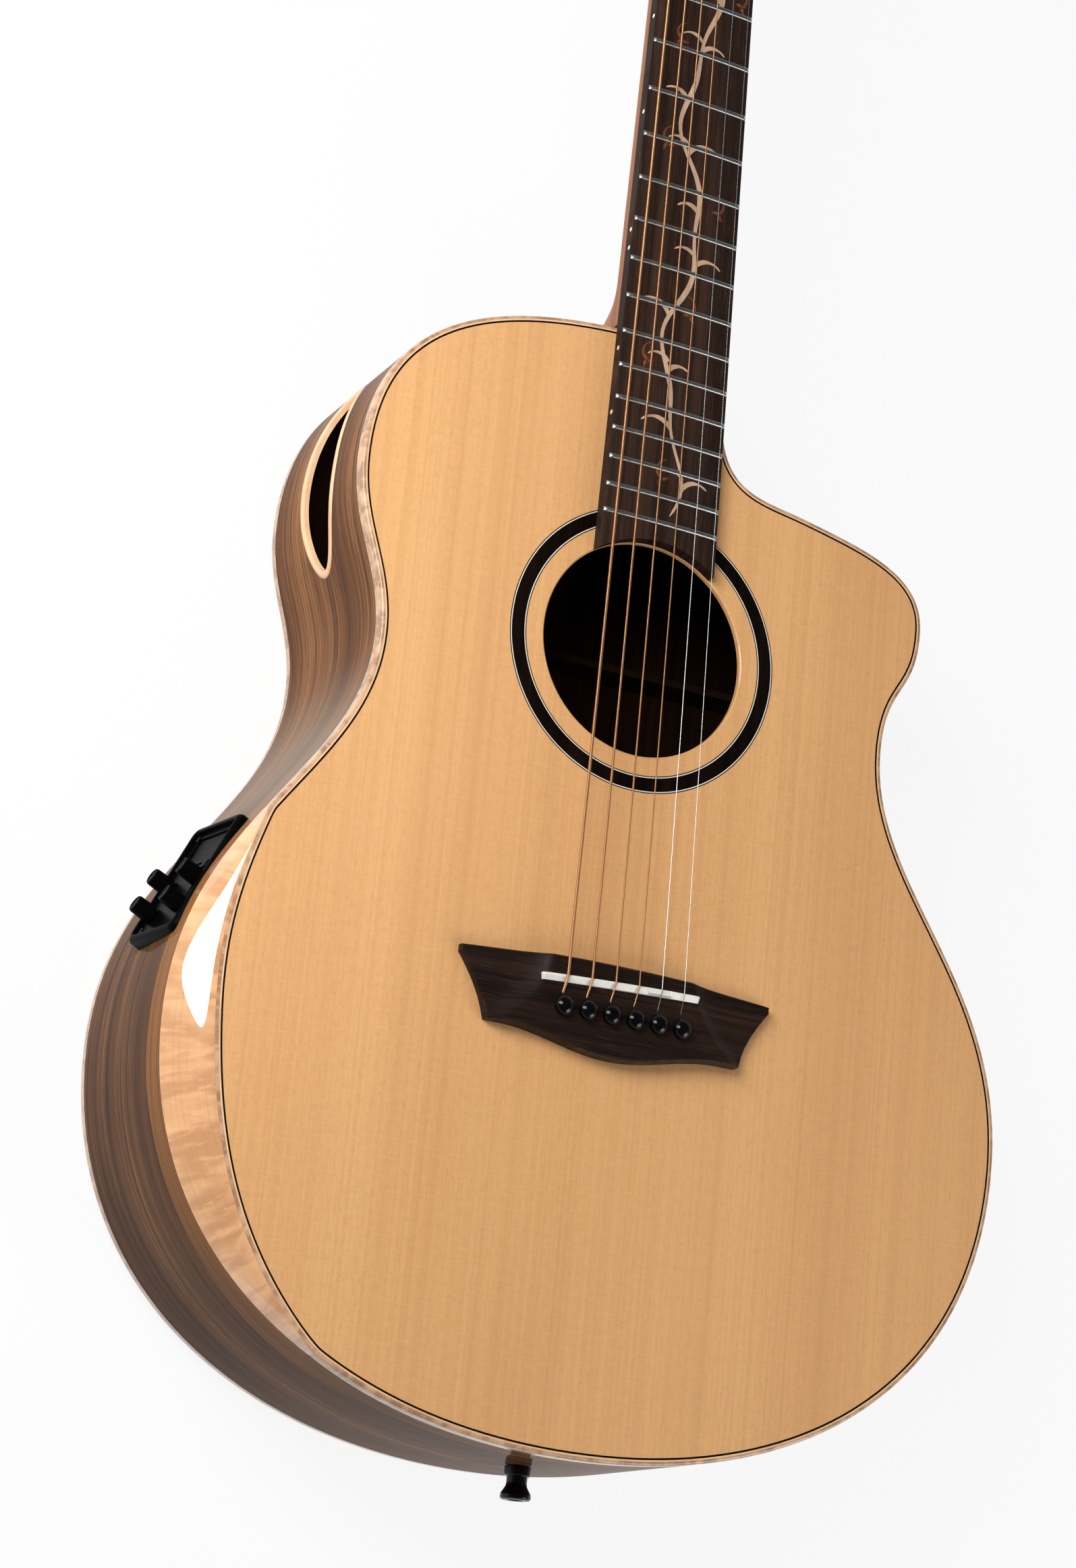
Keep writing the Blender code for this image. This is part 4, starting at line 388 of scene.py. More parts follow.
class Nodes:
    """A short way to write the nodes of a material or a world."""

    def __init__(self, owner):
        owner.use_nodes = True
        self.owner, self.tree = owner, owner.node_tree
        self.shader = self.tree.nodes.get("Principled BSDF")

    def put(self, socket, value):
        """Links a socket, or sets it to a number or a colour."""
        if isinstance(value, bpy.types.NodeSocket):
            self.tree.links.new(value, socket)
        else:
            socket.default_value = (*value, 1.0) if isinstance(value, tuple) else value

    def add(self, kind, inputs=None, **settings):
        node = self.tree.nodes.new(kind)
        for key, value in settings.items():
            setattr(node, key, value)
        for key, value in (inputs or {}).items():
            self.put(node.inputs[key], value)
        return node

    def set(self, **values):
        """Sets or links the shader's sockets, whose spaces are written as underlines."""
        for key, value in values.items():
            self.put(self.shader.inputs[key.replace("_", " ")], value)

    def coat(self, gloss, weight=1.0, index=1.5):
        self.set(Coat_Roughness=gloss, Coat_Weight=weight, Coat_IOR=index)

    def run(self):
        return self.add("ShaderNodeUVMap", uv_map="run").outputs["UV"]

    def object(self):
        return self.add("ShaderNodeTexCoord").outputs["Object"]

    def grain(self, scale, detail=3.0, rough=0.55, distort=0.0, run=False):
        """Noise with a scale for each axis, in the object's coordinates or along the UV run."""
        mapping = self.add("ShaderNodeMapping", {"Vector": self.run() if run else self.object()})
        mapping.inputs["Scale"].default_value = scale
        return self.add("ShaderNodeTexNoise", {
            "Vector": mapping.outputs["Vector"], "Scale": 1.0, "Detail": detail,
            "Roughness": rough, "Distortion": distort,
        }).outputs["Fac"]

    def ramp(self, value, stops, smooth=False):
        node = self.add("ShaderNodeValToRGB", {"Fac": value})
        band = node.color_ramp
        band.interpolation = "EASE" if smooth else "LINEAR"
        while len(band.elements) < len(stops):
            band.elements.new(0.5)
        for element, (place, colour) in zip(band.elements, stops):
            element.position = place
            element.color = (*(colour if isinstance(colour, tuple) else (colour,) * 3), 1.0)
        return node.outputs["Color"]

    def math(self, operation, *values, clamp=False):
        values = dict(enumerate(values))
        return self.add("ShaderNodeMath", values, operation=operation, use_clamp=clamp).outputs["Value"]

    def times(self, a, b, clamp=False):
        return self.math("MULTIPLY", a, b, clamp=clamp)

    def mix(self, share, a, b, kind="MIX"):
        values = {0: share, 6: a, 7: b}
        return self.add("ShaderNodeMix", values, data_type="RGBA", blend_type=kind).outputs[2]

    def layers(self, base, rows):
        """Tints a base by rows of (value, low, high, share, colour): none at low, the share at high."""
        for value, low, high, share, colour in rows:
            base = self.mix(self.ramp(value, [(low, 0.0), (high, share)]), base, colour)
        return base

    def split(self, vector):
        return self.add("ShaderNodeSeparateXYZ", {"Vector": vector}).outputs

    def bump(self, height, distance, strength=1.0):
        node = self.add("ShaderNodeBump", {"Distance": distance, "Strength": strength, "Height": height})
        self.set(Normal=node.outputs["Normal"])


def material(name):
    return Nodes(bpy.data.materials.new(name))


def spruce():
    """Honey-coloured spruce: fine straight grain along Y and a cross silk."""
    n = material("spruce")
    base = n.ramp(n.grain((22.0, 0.7, 1.0)), [
        (0.32, (0.65, 0.336, 0.134)), (0.50, (0.70, 0.375, 0.155)), (0.68, (0.74, 0.407, 0.171)),
    ])
    fine = n.grain((780.0, 2.2, 1.0), 1.0, 0.5)
    year = n.grain((240.0, 1.2, 1.0), 1.0, 0.4)
    speck = n.grain((620.0, 260.0, 1.0), 3.0, 0.7, 0.6)
    silk = n.grain((110.0, 900.0, 1.0), 3.0, 0.6, 0.3)
    cloud = n.grain((9.0, 5.0, 1.0), 2.0)
    base = n.layers(base, [
        (fine, 0.38, 0.64, 0.18, (0.46, 0.215, 0.075)),
        (year, 0.48, 0.70, 0.16, (0.48, 0.23, 0.08)),
        (speck, 0.46, 0.70, 0.30, (0.50, 0.25, 0.10)),
        (silk, 0.42, 0.68, 0.10, (0.88, 0.53, 0.25)),
        (cloud, 0.35, 0.70, 0.16, (0.82, 0.47, 0.20)),
    ])
    n.bump(n.math("ADD", fine, silk), 0.00002, 0.25)
    n.set(Base_Color=base, Roughness=0.5, Specular_IOR_Level=0.3)
    n.coat(0.12, 0.4)
    return n.owner


def walnut(name):
    """Dark striped wood whose grain runs along the first UV axis and whose bands follow the second."""
    n = material(name)
    base = n.ramp(n.grain((2.2, 48.0, 1.0), 3.0, 0.55, 0.5, True), [
        (0.28, (0.072, 0.031, 0.014)), (0.45, (0.120, 0.053, 0.023)),
        (0.58, (0.180, 0.082, 0.034)), (0.75, (0.265, 0.128, 0.053)),
    ])
    streak = n.grain((6.0, 620.0, 1.0), 2.0, 0.62, 0.15, True)
    vein = n.grain((3.0, 210.0, 1.0), 2.0, 0.5, 0.6, True)
    wave = n.grain((5.0, 16.0, 1.0), 2.0, run=True)
    pore = n.grain((70.0, 1500.0, 1.0), 2.0, 0.6, run=True)
    base = n.layers(base, [
        (streak, 0.44, 0.54, 0.62, (0.050, 0.021, 0.011)),
        (vein, 0.57, 0.65, 0.66, (0.020, 0.012, 0.008)),
        (wave, 0.45, 0.75, 0.35, (0.33, 0.150, 0.062)),
        (pore, 0.56, 0.68, 0.55, (0.025, 0.012, 0.007)),
    ])
    n.set(Roughness=0.5, Specular_IOR_Level=0.0)
    n.coat(0.05, 0.26, 1.3)
    return n, base


def rib_walnut_painted_light():
    """Walnut with a golden strip under the armrest; on the bass side, painted light makes it paler towards
    the waist, and a painted grey reflection lies at the waist.
    """
    n, base = walnut("walnut")
    x, y, z = n.split(n.object())
    bass = n.times(n.math("SUBTRACT", -0.085, x), 30.0, True)
    wander = n.times(n.math("SUBTRACT", n.grain((9.0, 9.0, 2.0), 1.0), 0.5), 0.012)
    height = n.math("SUBTRACT", n.math("ADD", z, wander), TOP - 0.030)
    under = n.ramp(n.times(height, 125.0), [(0.30, 0.0), (0.50, 1.0)])
    low = n.times(n.math("SUBTRACT", 0.070, y), 30.0, True)
    streak = n.grain((8.0, 700.0, 1.0), 3.0, 0.6, run=True)
    golden = n.ramp(streak, [(0.35, (0.285, 0.122, 0.040)), (0.65, (0.165, 0.068, 0.022))])
    base = n.mix(n.times(under, n.times(bass, low)), base, golden)
    # Painted light: towards the waist the bass rib is made up to 1.9 times brighter, as if the key lamp fell
    # more strongly there.
    painted_light_up = n.ramp(n.times(n.math("ADD", y, 0.02), 8.0, True), [(0.0, 0.0), (1.0, 0.45)])
    base = n.mix(n.times(painted_light_up, bass), base, n.mix(1.0, base, (1.9, 1.85, 1.75), "MULTIPLY"))
    # Painted reflection: a grey sheen is laid on the bass rib at the waist.
    along = n.times(y, 5.0, True)
    waist = n.ramp(along, [(0.10, 0.0), (0.30, 0.48), (0.44, 0.48), (0.62, 0.0)])
    n.set(Base_Color=n.mix(n.times(waist, bass), base, (0.26, 0.205, 0.155)))
    return n.owner


def back_walnut_painted_shade():
    """The back's walnut, with painted shade: the face inside the body is painted nearly black."""
    n, base = walnut("back_walnut_painted_shade")
    inner_face_shade = n.split(n.add("ShaderNodeNewGeometry").outputs["Normal"])[2]
    # Painted shade: the back's inner face, which looks up into the body, is darkened almost to black.
    n.set(Base_Color=n.layers(base, [(inner_face_shade, 0.0, 0.2, 0.92, (0.006, 0.003, 0.002))]))
    return n.owner


def flamed(name, light, dark, spacing, cross, gloss, contrast, index):
    """Figured maple: soft bands across the run, with brighter patches where the figure turns."""
    n = material(name)
    band = n.grain((0.8 / spacing, cross, 1.0), 2.0, 0.45, 0.6, True)
    patch = n.grain((2.2 / spacing, cross * 3.0, 1.0), 2.0, 0.5, 0.4, True)
    grain = n.grain((14.0, 900.0, 1.0), 3.0, 0.6, run=True)
    base = n.mix(n.ramp(band, [(0.36, 0.0), (0.62, contrast)], True), light, dark)
    base = n.layers(base, [
        (patch, 0.52, 0.70, 0.55 * contrast, tuple(min(1.0, v) for v in scaled(light, 1.25))),
        (grain, 0.50, 0.72, 0.20, scaled(dark, 0.6)),
    ])
    n.set(Base_Color=base, Roughness=0.4, Specular_IOR_Level=0.1)
    n.coat(gloss, 1.0, index)
    return n.owner


def dark_board(name, gloss, along_x, level, shine):
    """Dark brown striped wood with open pores."""
    n = material(name)

    def across(a, b):
        return (b, a, 1.0) if along_x else (a, b, 1.0)

    broad = n.grain(across(90.0, 2.5), 2.0)
    stripe = n.grain(across(420.0, 4.0), 3.0, 0.6, 0.2)
    pore = n.grain(across(1500.0, 55.0), 2.0, 0.6)
    tones = ((0.018, 0.010, 0.0075), (0.040, 0.021, 0.0145), (0.075, 0.037, 0.023))
    base = n.ramp(broad, [(place, scaled(tone, level)) for place, tone in zip((0.32, 0.55, 0.75), tones)])
    base = n.layers(base, [
        (stripe, 0.45, 0.62, 0.70, scaled((0.013, 0.008, 0.0065), level)),
        (pore, 0.58, 0.70, 0.45, scaled((0.095, 0.052, 0.033), level)),
    ])
    n.bump(pore, 0.00004, 0.4)
    rough = n.ramp(pore, [(0.4, gloss), (0.7, gloss + 0.2)])
    n.set(Base_Color=base, Roughness=rough, Specular_IOR_Level=shine)
    return n.owner


def plain_wood(name, light, dark, along, gloss, coat=0.0):
    """Quiet wood with a grain and a finer one of the same tone."""
    n = material(name)
    base = n.ramp(n.grain(along, 4.0, 0.6, 0.3), [(0.35, dark), (0.65, light)])
    base = n.layers(base, [(n.grain(scaled(along, 9), 2.0), 0.5, 0.7, 0.35, dark)])
    n.set(Base_Color=base, Roughness=gloss, Specular_IOR_Level=0.05)
    n.coat(0.08, coat, 1.3)
    return n.owner


def speckled(name, colour, rough, scale, detail, speck):
    """A fine even speckle in the colour and in the gloss."""
    n = material(name)
    mark = n.grain((scale,) * 3, detail)
    tone = n.ramp(mark, [(0.3, scaled(colour, 1 - speck)), (0.7, colour)])
    n.set(Base_Color=tone, Roughness=n.ramp(mark, [(0.3, rough), (0.7, rough + 0.08)]))
    return n, mark


def metal(name, colour, rough):
    n = speckled(name, colour, rough, 900.0, 2.0, 0.1)[0]
    n.set(Metallic=1.0)
    return n.owner


def plastic(name, colour, rough, speck=0.3, shine=0.5):
    n, mark = speckled(name, colour, rough, 700.0, 3.0, speck)
    n.set(Specular_IOR_Level=shine)
    n.bump(mark, 0.00002, 0.3)
    return n.owner


def wound_metal():
    """Bronze with the winding's fine ribs across the string's run, and painted shade in the grooves between
    turns.
    """
    n = material("wound_bronze")
    wave = n.math("SINE", n.times(n.split(n.run())[0], 2 * pi / WINDING))
    n.bump(n.times(n.math("ADD", wave, 1.0), 0.5), 0.00006, 0.8)
    # Painted shade: the grooves between turns are darker and the crests lighter.
    tone = n.ramp(wave, [(0.0, (0.48, 0.22, 0.10)), (1.0, (0.86, 0.50, 0.25))])
    n.set(Base_Color=tone, Metallic=1.0, Roughness=0.28)
    return n.owner


SPRUCE = spruce()
RIB_PAINTED_LIGHT = rib_walnut_painted_light()
# The back's walnut carries painted shade on its inner face.
BACK = back_walnut_painted_shade()
MAPLE_BEVEL = flamed("figured_maple", (0.82, 0.45, 0.22), (0.58, 0.28, 0.125), 0.0075, 30.0, 0.02, 0.8, 2.1)
MAPLE_EDGE = flamed("maple_edge", (0.60, 0.37, 0.22), (0.32, 0.17, 0.09), 0.0060, 90.0, 0.03, 0.9, 1.42)
MAPLE_TRIM = plain_wood("maple_trim", (0.80, 0.52, 0.31), (0.68, 0.41, 0.23), (40.0, 40.0, 200.0), 0.3, 0.6)
BLACK_LINE = plastic("black_line", (0.005, 0.004, 0.004), 0.4, 0.3, 0.1)
WHITE_LINE = plastic("white_line", (0.72, 0.66, 0.56), 0.3, 0.1)
BLACK_RING = dark_board("black_ring", 0.5, False, 0.15, 0.03)
BOARD = dark_board("fingerboard", 0.42, False, 0.92, 0.06)
BRIDGE = dark_board("bridge_wood", 0.34, True, 0.50, 0.14)
NECK = plain_wood("mahogany", (0.38, 0.165, 0.078), (0.24, 0.098, 0.044), (90.0, 4.0, 90.0), 0.45, 0.1)
# Inner wood painted nearly black: painted shade for the unlit inside of the body.
INSIDE_SHADE = plain_wood("inside_wood_painted_shade", (0.026, 0.013, 0.006), (0.016, 0.008, 0.004), (50.0, 50.0, 30.0), 0.75)
BONE = plastic("bone", (0.80, 0.78, 0.70), 0.30, 0.06)
BLACK = plastic("black_gloss", (0.002, 0.002, 0.0025), 0.07, 0.2, 0.25)
SATIN = plastic("black_satin", (0.0016, 0.0017, 0.0021), 0.28, 0.3, 0.02)
NICKEL = metal("fret_nickel", (0.40, 0.41, 0.40), 0.30)
STEEL = metal("plain_steel", (0.50, 0.50, 0.49), 0.24)
CHROME = metal("tuner_metal", (0.50, 0.50, 0.52), 0.14)
DARK_METAL = metal("dark_metal", (0.030, 0.030, 0.033), 0.20)
BRONZE = wound_metal()
INLAY = plain_wood("inlay_maple", (0.56, 0.385, 0.265), (0.44, 0.285, 0.185), (200.0, 30.0, 10.0), 0.35)
INLAY_RED = plain_wood("inlay_red", (0.22, 0.075, 0.028), (0.13, 0.042, 0.018), (300.0, 60.0, 10.0), 0.4)


# Body outline


def cubic(p0, p1, p2, p3, steps):
    t = np.linspace(0.0, 1.0, steps + 1)[:-1, None]
    p0, p1, p2, p3 = (np.array(p, float) for p in (p0, p1, p2, p3))
    place = (1 - t) ** 3 * p0 + 3 * (1 - t) ** 2 * t * p1 + 3 * (1 - t) * t**2 * p2 + t**3 * p3
    slope = (1 - t) ** 2 * (p1 - p0) + 2 * (1 - t) * t * (p2 - p1) + t**2 * (p3 - p2)
    return place, slope


def straight(start, end, steps):
    start, end = np.array(start, float), np.array(end, float)
    return start, start + (end - start) / 3, end - (end - start) / 3, end, steps


def half_outline(curves, side):
    """Places, outward normals and arcs along one side, from the tail to the neck."""
    places, slopes = zip(*[cubic(*curve) for curve in curves])
    place = np.vstack([*places, curves[-1][3]])
    slope = np.vstack([*slopes, np.subtract(curves[-1][3], curves[-1][2])])
    slope = slope / np.linalg.norm(slope, axis=1, keepdims=True)
    normal = side * np.stack([-slope[:, 1], slope[:, 0]], axis=1)
    arc = np.concatenate([[0.0], np.cumsum(np.linalg.norm(np.diff(place, axis=0), axis=1))])
    return place, normal, arc


def lower_curves(side):
    """The lower bout up to the waist, which both sides share."""
    before, after = LOWER_PULLS
    (x, y), (waist, waist_y) = LOWER, WAIST
    x, waist = side * x, side * waist
    return [
        ((0.0, TAIL_Y), (side * TAIL_PULL, TAIL_Y), (x, y - before), (x, y), 48),
        ((x, y), (x, y + after), (waist, waist_y - WAIST_PULL), (waist, waist_y), 36),
    ]


def bass_half():
    (waist, waist_y), (x, y) = WAIST, UPPER
    first, before, after, last = BASS_PULLS
    return half_outline([
        *lower_curves(-1),
        ((-waist, waist_y), (-waist, waist_y + first), (-x, y - before), (-x, y), 24),
        ((-x, y), (-x, y + after), (-last, SHOULDER_Y), (0.0, SHOULDER_Y), 44),
    ], 1)


def treble_half():
    (waist, waist_y), horn, (x, y) = WAIST, UPPER[0], CUTAWAY_END
    first, before, after = TREBLE_PULLS
    into, out, last = CUTAWAY_PULLS
    middle = np.array(CUTAWAY)
    heading = np.array((-cos(CUTAWAY_ANGLE), sin(CUTAWAY_ANGLE)))
    low, high, pull = (x, SHOULDER_Y - CORNER), (x - CORNER, SHOULDER_Y), CIRCLE_PULL * CORNER
    return half_outline([
        *lower_curves(1),
        (WAIST, (waist, waist_y + first), (horn, HORN_Y - before), (horn, HORN_Y), 24),
        ((horn, HORN_Y), (horn, HORN_Y + after), middle - heading * into, middle, 36),
        (middle, middle + heading * out, (x, y - last), (x, y), 24),
        straight((x, y), low, 3),
        (low, (x, low[1] + pull), (high[0] + pull, SHOULDER_Y), high, 6),
        straight(high, (0.0, SHOULDER_Y), 4),
    ], -1)


def finer(half, extra):
    """The same half outline with more stations at the extra arcs."""
    place, normal, arc = half
    full = np.unique(np.concatenate([arc, extra]))
    columns = [np.interp(full, arc, column) for column in (*place.T, *normal.T)]
    return np.stack(columns[:2], axis=1), np.stack(columns[2:], axis=1), full


TAPER = np.array((0.0, 0.0007, 0.0014, 0.0024, 0.0036, 0.0052, 0.0072, 0.0096, 0.0124))
BASS = finer(bass_half(), np.concatenate([ARMREST_START + TAPER, ARMREST_END - TAPER]))
TREBLE = treble_half()


def at_arc(half, arc):
    place, normal, arcs = half
    x, y, nx, ny = (np.interp(arc, arcs, column) for column in (*place.T, *normal.T))
    return np.array((x, y)), np.array((nx, ny)) / hypot(nx, ny)


def armrest_share(arc):
    """How far the bevel cuts in, from 0 to 1, eased so that both ends run out without a kink."""
    along = (arc - ARMREST_START) / (ARMREST_END - ARMREST_START)
    share = sin(pi * along**ARMREST_SKEW) ** ARMREST_FULLNESS if 0 < along < 1 else 0.0
    return (hypot(share, ARMREST_EASE) - ARMREST_EASE) / (hypot(1.0, ARMREST_EASE) - ARMREST_EASE)


def armrest_inset(arc, bass=True):
    return ARMREST_INSET * armrest_share(arc) if bass else 0.0


def edge_drop(arc, bass=True):
    return TOP_BINDING_HEIGHT + (ARMREST_DROP * armrest_share(arc) if bass else 0.0)


def edge_round(inset):
    """The top edge's radius, which goes where the bevel cuts in."""
    return TOP_EDGE_ROUND * max(0.0, 1 - inset / ROUND_GONE) + 2 * HAIR


def back_rise(x, y):
    """The domed back's height over the floor, eased into its flat middle."""
    radius = BACK_RADII[0] if y > BACK_CENTRE_Y else BACK_RADII[1]
    rise = (y - BACK_CENTRE_Y) ** 2 / (2 * radius) + x**2 / BACK_CROSS - BACK_FLAT
    return (rise + sqrt(rise * rise + BACK_EASE)) / 2


def round_stations():
    """Every station round the body: place, outward normal, arc and whether it is on the bass side."""
    treble = [(*at_arc(TREBLE, a), a, False) for a in TREBLE[2]]
    bass = [(*at_arc(BASS, a), a, True) for a in BASS[2]]
    return treble + bass[::-1][1:-1]


STATIONS = round_stations()


def body_arc(arc, bass):
    """One running length round the body, for grain that goes on past the seams."""
    return TREBLE[2][-1] + BASS[2][-1] - arc if bass else arc


class Edge(NamedTuple):
    """What the body's edge has at one station: the bevel's inset, the top edge's drop, the back's rise."""

    inset: float
    drop: float
    rise: float


def edge_ring(name, section, finish, angle=35):
    """A closed ring round the body, whose section is a function of the edge."""
    rings, uv = [], []
    for spot, out, arc, bass in STATIONS:
        points = section(Edge(armrest_inset(arc, bass), edge_drop(arc, bass), back_rise(*spot)))
        rings.append([(*(spot - out * inset), z) for inset, z, v in points])
        uv.append([(body_arc(arc, bass), v) for inset, z, v in points])
    return loft(name, rings, finish, closed=True, uv=uv, angle=angle)


def outline(inset, bevelled=False):
    """Plan points at an inset, to which the bevel may add its own."""
    points = []
    for spot, out, arc, bass in STATIONS:
        points.append(tuple(spot - out * (inset + armrest_inset(arc, bass and bevelled))))
    return points


def prism(name, plan, low, high, finish, body=BODY):
    return loft(name, [[(x, y, z) for x, y in plan] for z in (low, high)], finish, body=body)


# Body


def flat_ring(name, inner, outer, low, high, finish, body=BODY, sides=144):
    """A square ring about the soundhole, with its levels counted from the top."""
    section = ((inner, low), (outer, low), (outer, high), (inner, high))
    rings = []
    for a in circle(sides):
        rings.append([(r * cos(a), HOLE_Y + r * sin(a), TOP + z) for r, z in section])
    return loft(name, rings, finish, closed=True, body=body)


def make_soundboard():
    """The spruce top with its eased soundhole and the rosette's groove."""
    plan = outline(BINDING + PURFLING + 5 * HAIR, True)
    board = prism("soundboard_top", plan, TOP - SPRUCE_THICK, TOP, SPRUCE)
    wide = HOLE_R + HOLE_EASE
    edge = [(-0.02, HOLE_R), (-HOLE_EASE, HOLE_R), (0.0, wide), (0.01, wide + 0.01)]
    cut(board, turned("hole_cut", edge, at((0, HOLE_Y, TOP)), SPRUCE, 128, None))
    inner, outer = ROSETTE[0] - HAIR, ROSETTE[1] + HAIR
    cut(board, flat_ring("groove_cut", inner, outer, -ROSETTE_GROOVE, 0.01, SPRUCE, None))
    dress(board, "soundboard")


def make_rosette():
    """The black ring between pairs of thin pale and black lines."""
    line, low, (inner, outer) = ROSETTE_LINE, -ROSETTE_DEPTH, ROSETTE
    ring = flat_ring("rosette_ring", inner + 2 * line, outer - 2 * line, low, 0.0, BLACK_RING)
    pale = [(inner + line, inner + 2 * line), (outer - 2 * line, outer - line)]
    dark = [(inner, inner + line), (outer - line, outer)]
    pale = [flat_ring("pale", a, b, low, HAIR, WHITE_LINE) for a, b in pale]
    dark = [flat_ring("dark", a, b, low, 0.0, BLACK_LINE) for a, b in dark]
    joined("rosette_pale_lines", pale)
    joined("rosette_dark_lines", dark)
    dress(ring, "rosette")


def line_section(near, far, low, high):
    """The four corners of a line, as (inset, z, v)."""
    return [(near, low, 0), (near, high, 0), (far, high, 0), (far, low, 0)]


def quarter(r):
    """Three points inside a rounded corner, as distances from its two faces."""
    angles = [pi / 2 * k / 4 for k in (1, 2, 3)]
    return [(k, r * (1 - cos(a)), r * sin(a)) for k, a in enumerate(angles, 1)]


def top_binding(edge):
    inset, low = edge.inset, TOP - TOP_BINDING_HEIGHT
    r = edge_round(inset)
    points = [(inset, low, 0.0), (inset, TOP - r, TOP_BINDING_HEIGHT)]
    points += [(inset + across, TOP - r + up, 0.0066 + 0.0002 * k) for k, across, up in quarter(r)]
    inner = inset + BINDING
    return points + [(inset + r, TOP, 0.0075), (inner, TOP, 0.0090), (inner, low, 0.0140)]


def back_binding(edge):
    rise, r = edge.rise, BACK_EDGE_ROUND
    high = rise + BACK_BINDING_HEIGHT
    points = [(0.0, high, BACK_BINDING_HEIGHT), (0.0, rise + r, r)]
    points += [(across, rise + r - down, r - 0.0005 * k) for k, across, down in quarter(r)]
    return points + [(r, rise, -0.0008), (BINDING, rise, -0.0017), (BINDING, high, -0.006)]


def purfling(edge):
    inner = edge.inset + BINDING + PURFLING
    return line_section(inner, inner - PURFLING, TOP - LINE_DEPTH, TOP)


def pale_line(edge):
    inner = edge.inset + BINDING
    return line_section(inner, inner - PALE_LINE, TOP - LINE_DEPTH / 2, TOP + 3 * HAIR)


def side_line_top(edge):
    high = TOP - edge.drop
    return line_section(HAIR, LINE_DEPTH, high - SIDE_LINE - 5 * HAIR, high)


def side_line_back(edge):
    low = edge.rise + BACK_BINDING_HEIGHT
    return line_section(HAIR, LINE_DEPTH, low, low + SIDE_LINE)


def make_edges():
    """The bindings, the purfling with a pale line, and the dark lines along the ribs."""
    dress(edge_ring("binding_top_ring", top_binding, MAPLE_EDGE, 50), "binding_top")
    dress(edge_ring("purfling_line", purfling, BLACK_LINE))
    dress(edge_ring("pale_line", pale_line, MAPLE_TRIM))
    dress(edge_ring("side_line_top", side_line_top, BLACK_LINE))
    dress(edge_ring("binding_back_ring", back_binding, MAPLE_EDGE, 50), "binding_back")
    dress(edge_ring("side_line_back", side_line_back, BLACK_LINE))


def make_armrest():
    """The figured maple bevel: a crowned face that eases into the binding and the rib."""
    steps = np.linspace(0.0, 1.0, 15)
    rings, uv = [], []
    for arc in [a for a in BASS[2] if armrest_inset(a) > ARMREST_LEAST]:
        spot, out = at_arc(BASS, arc)
        width, drop = armrest_inset(arc) - 4 * HAIR, edge_drop(arc)
        crest, run = edge_round(armrest_inset(arc)), body_arc(arc, True)
        heights = [TOP - crest - (drop - crest) * (1 - u) ** ARMREST_CROWN for u in steps]
        face = [(*(spot - out * width * u), z) for u, z in zip(steps, heights)]
        rings.append(face + [(*(spot - out * width), TOP - drop)])
        uv.append([(run, hypot(width, drop) * u) for u in steps] + [(run, 0.0)])
    bevel = loft("armrest_face", rings, MAPLE_BEVEL, uv=uv, angle=60)
    dress(bevel, "armrest_bevel")


def rib(name, half, bass, node):
    rings, uv = [], []
    side = -1 if bass else 1
    for arc in half[2]:
        spot, out = at_arc(half, arc)
        low = back_rise(*spot) + BACK_BINDING_HEIGHT + SIDE_LINE - 10 * HAIR
        high = TOP - edge_drop(arc, bass) - SIDE_LINE
        inside = spot - out * BINDING
        for p in (spot, inside):
            p[0] = side * max(side * p[0], 2 * HAIR)
        run, steps = body_arc(arc, bass), np.linspace(low, high, 5)
        rings.append([(*spot, z) for z in steps] + [(*inside, high), (*inside, low)])
        uv.append([(run, z) for z in (*steps, high, low)])
    made = loft(name, rings, RIB_PAINTED_LIGHT, uv=uv)
    dress(made, node)
    return made


def port_point(a, half_length, half_height, lift):
    """A point on an oval about the sound port, lifted off the bass rib."""
    spot, out = at_arc(BASS, PORT_ARC + half_length * cos(a))
    return *(spot + out * lift), PORT_Z + half_height * sin(a)


def make_ribs():
    """Both ribs, with the cuts for the sound port, the preamp and the jack."""
    bass = rib("side_bass", BASS, True, "rib_bass")
    treble = rib("side_treble", TREBLE, False, "rib_treble")
    half_length, half_height = (size - PORT_SEAT for size in PORT_TRIM)
    port = [[port_point(a, half_length, half_height, lift) for a in circle(96)] for lift in (0.010, -0.010)]
    cut(bass, loft("port_cut", port, RIB_PAINTED_LIGHT, body=None))
    x, y = PREAMP_CUT
    pocket(bass, (-x, -y, -0.03), (x, y, 0.01), PREAMP)
    for side in (bass, treble):
        drill(side, -0.01, 0.03, JACK_BORE, JACK)


def make_treble_linings():
    """Lining strips on the fine outline, where the solids' long chords would show through the rib."""
    fine = np.linspace(0.0, TREBLE[2][-1], 2000)
    spots = np.array([at_arc(TREBLE, a)[0] for a in fine])
    first = fine[np.argmax(spots[:, 0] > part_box("tail_block")[1].x + LINING_END)]
    last = fine[np.nonzero(spots[:, 1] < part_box("neck_block")[0].y - LINING_END)[0][-1]]
    arcs = [first, *[a for a in TREBLE[2] if first + LINING_END < a < last - LINING_END], last]
    for word in ("top", "back"):
        node = f"lining_{word}_treble"
        low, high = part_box(node)
        rings = []
        for arc in arcs:
            spot, out = at_arc(TREBLE, arc)
            bottom, top, below, above = low.z, high.z, LINING_NARROW, LINING_WIDE
            if word == "back":
                bottom = back_rise(*spot) + BACK_SHEET
                top, below, above = bottom + BACK_LINING_HEIGHT, LINING_WIDE, LINING_NARROW
            outer = spot - out * (SHELL + 10 * HAIR)
            ring = [(*outer, bottom), (*outer, top)]
            rings.append(ring + [(*(outer - out * above), top), (*(outer - out * below), bottom)])
        dress(loft(f"{node}_fine", rings, INSIDE_SHADE), node)


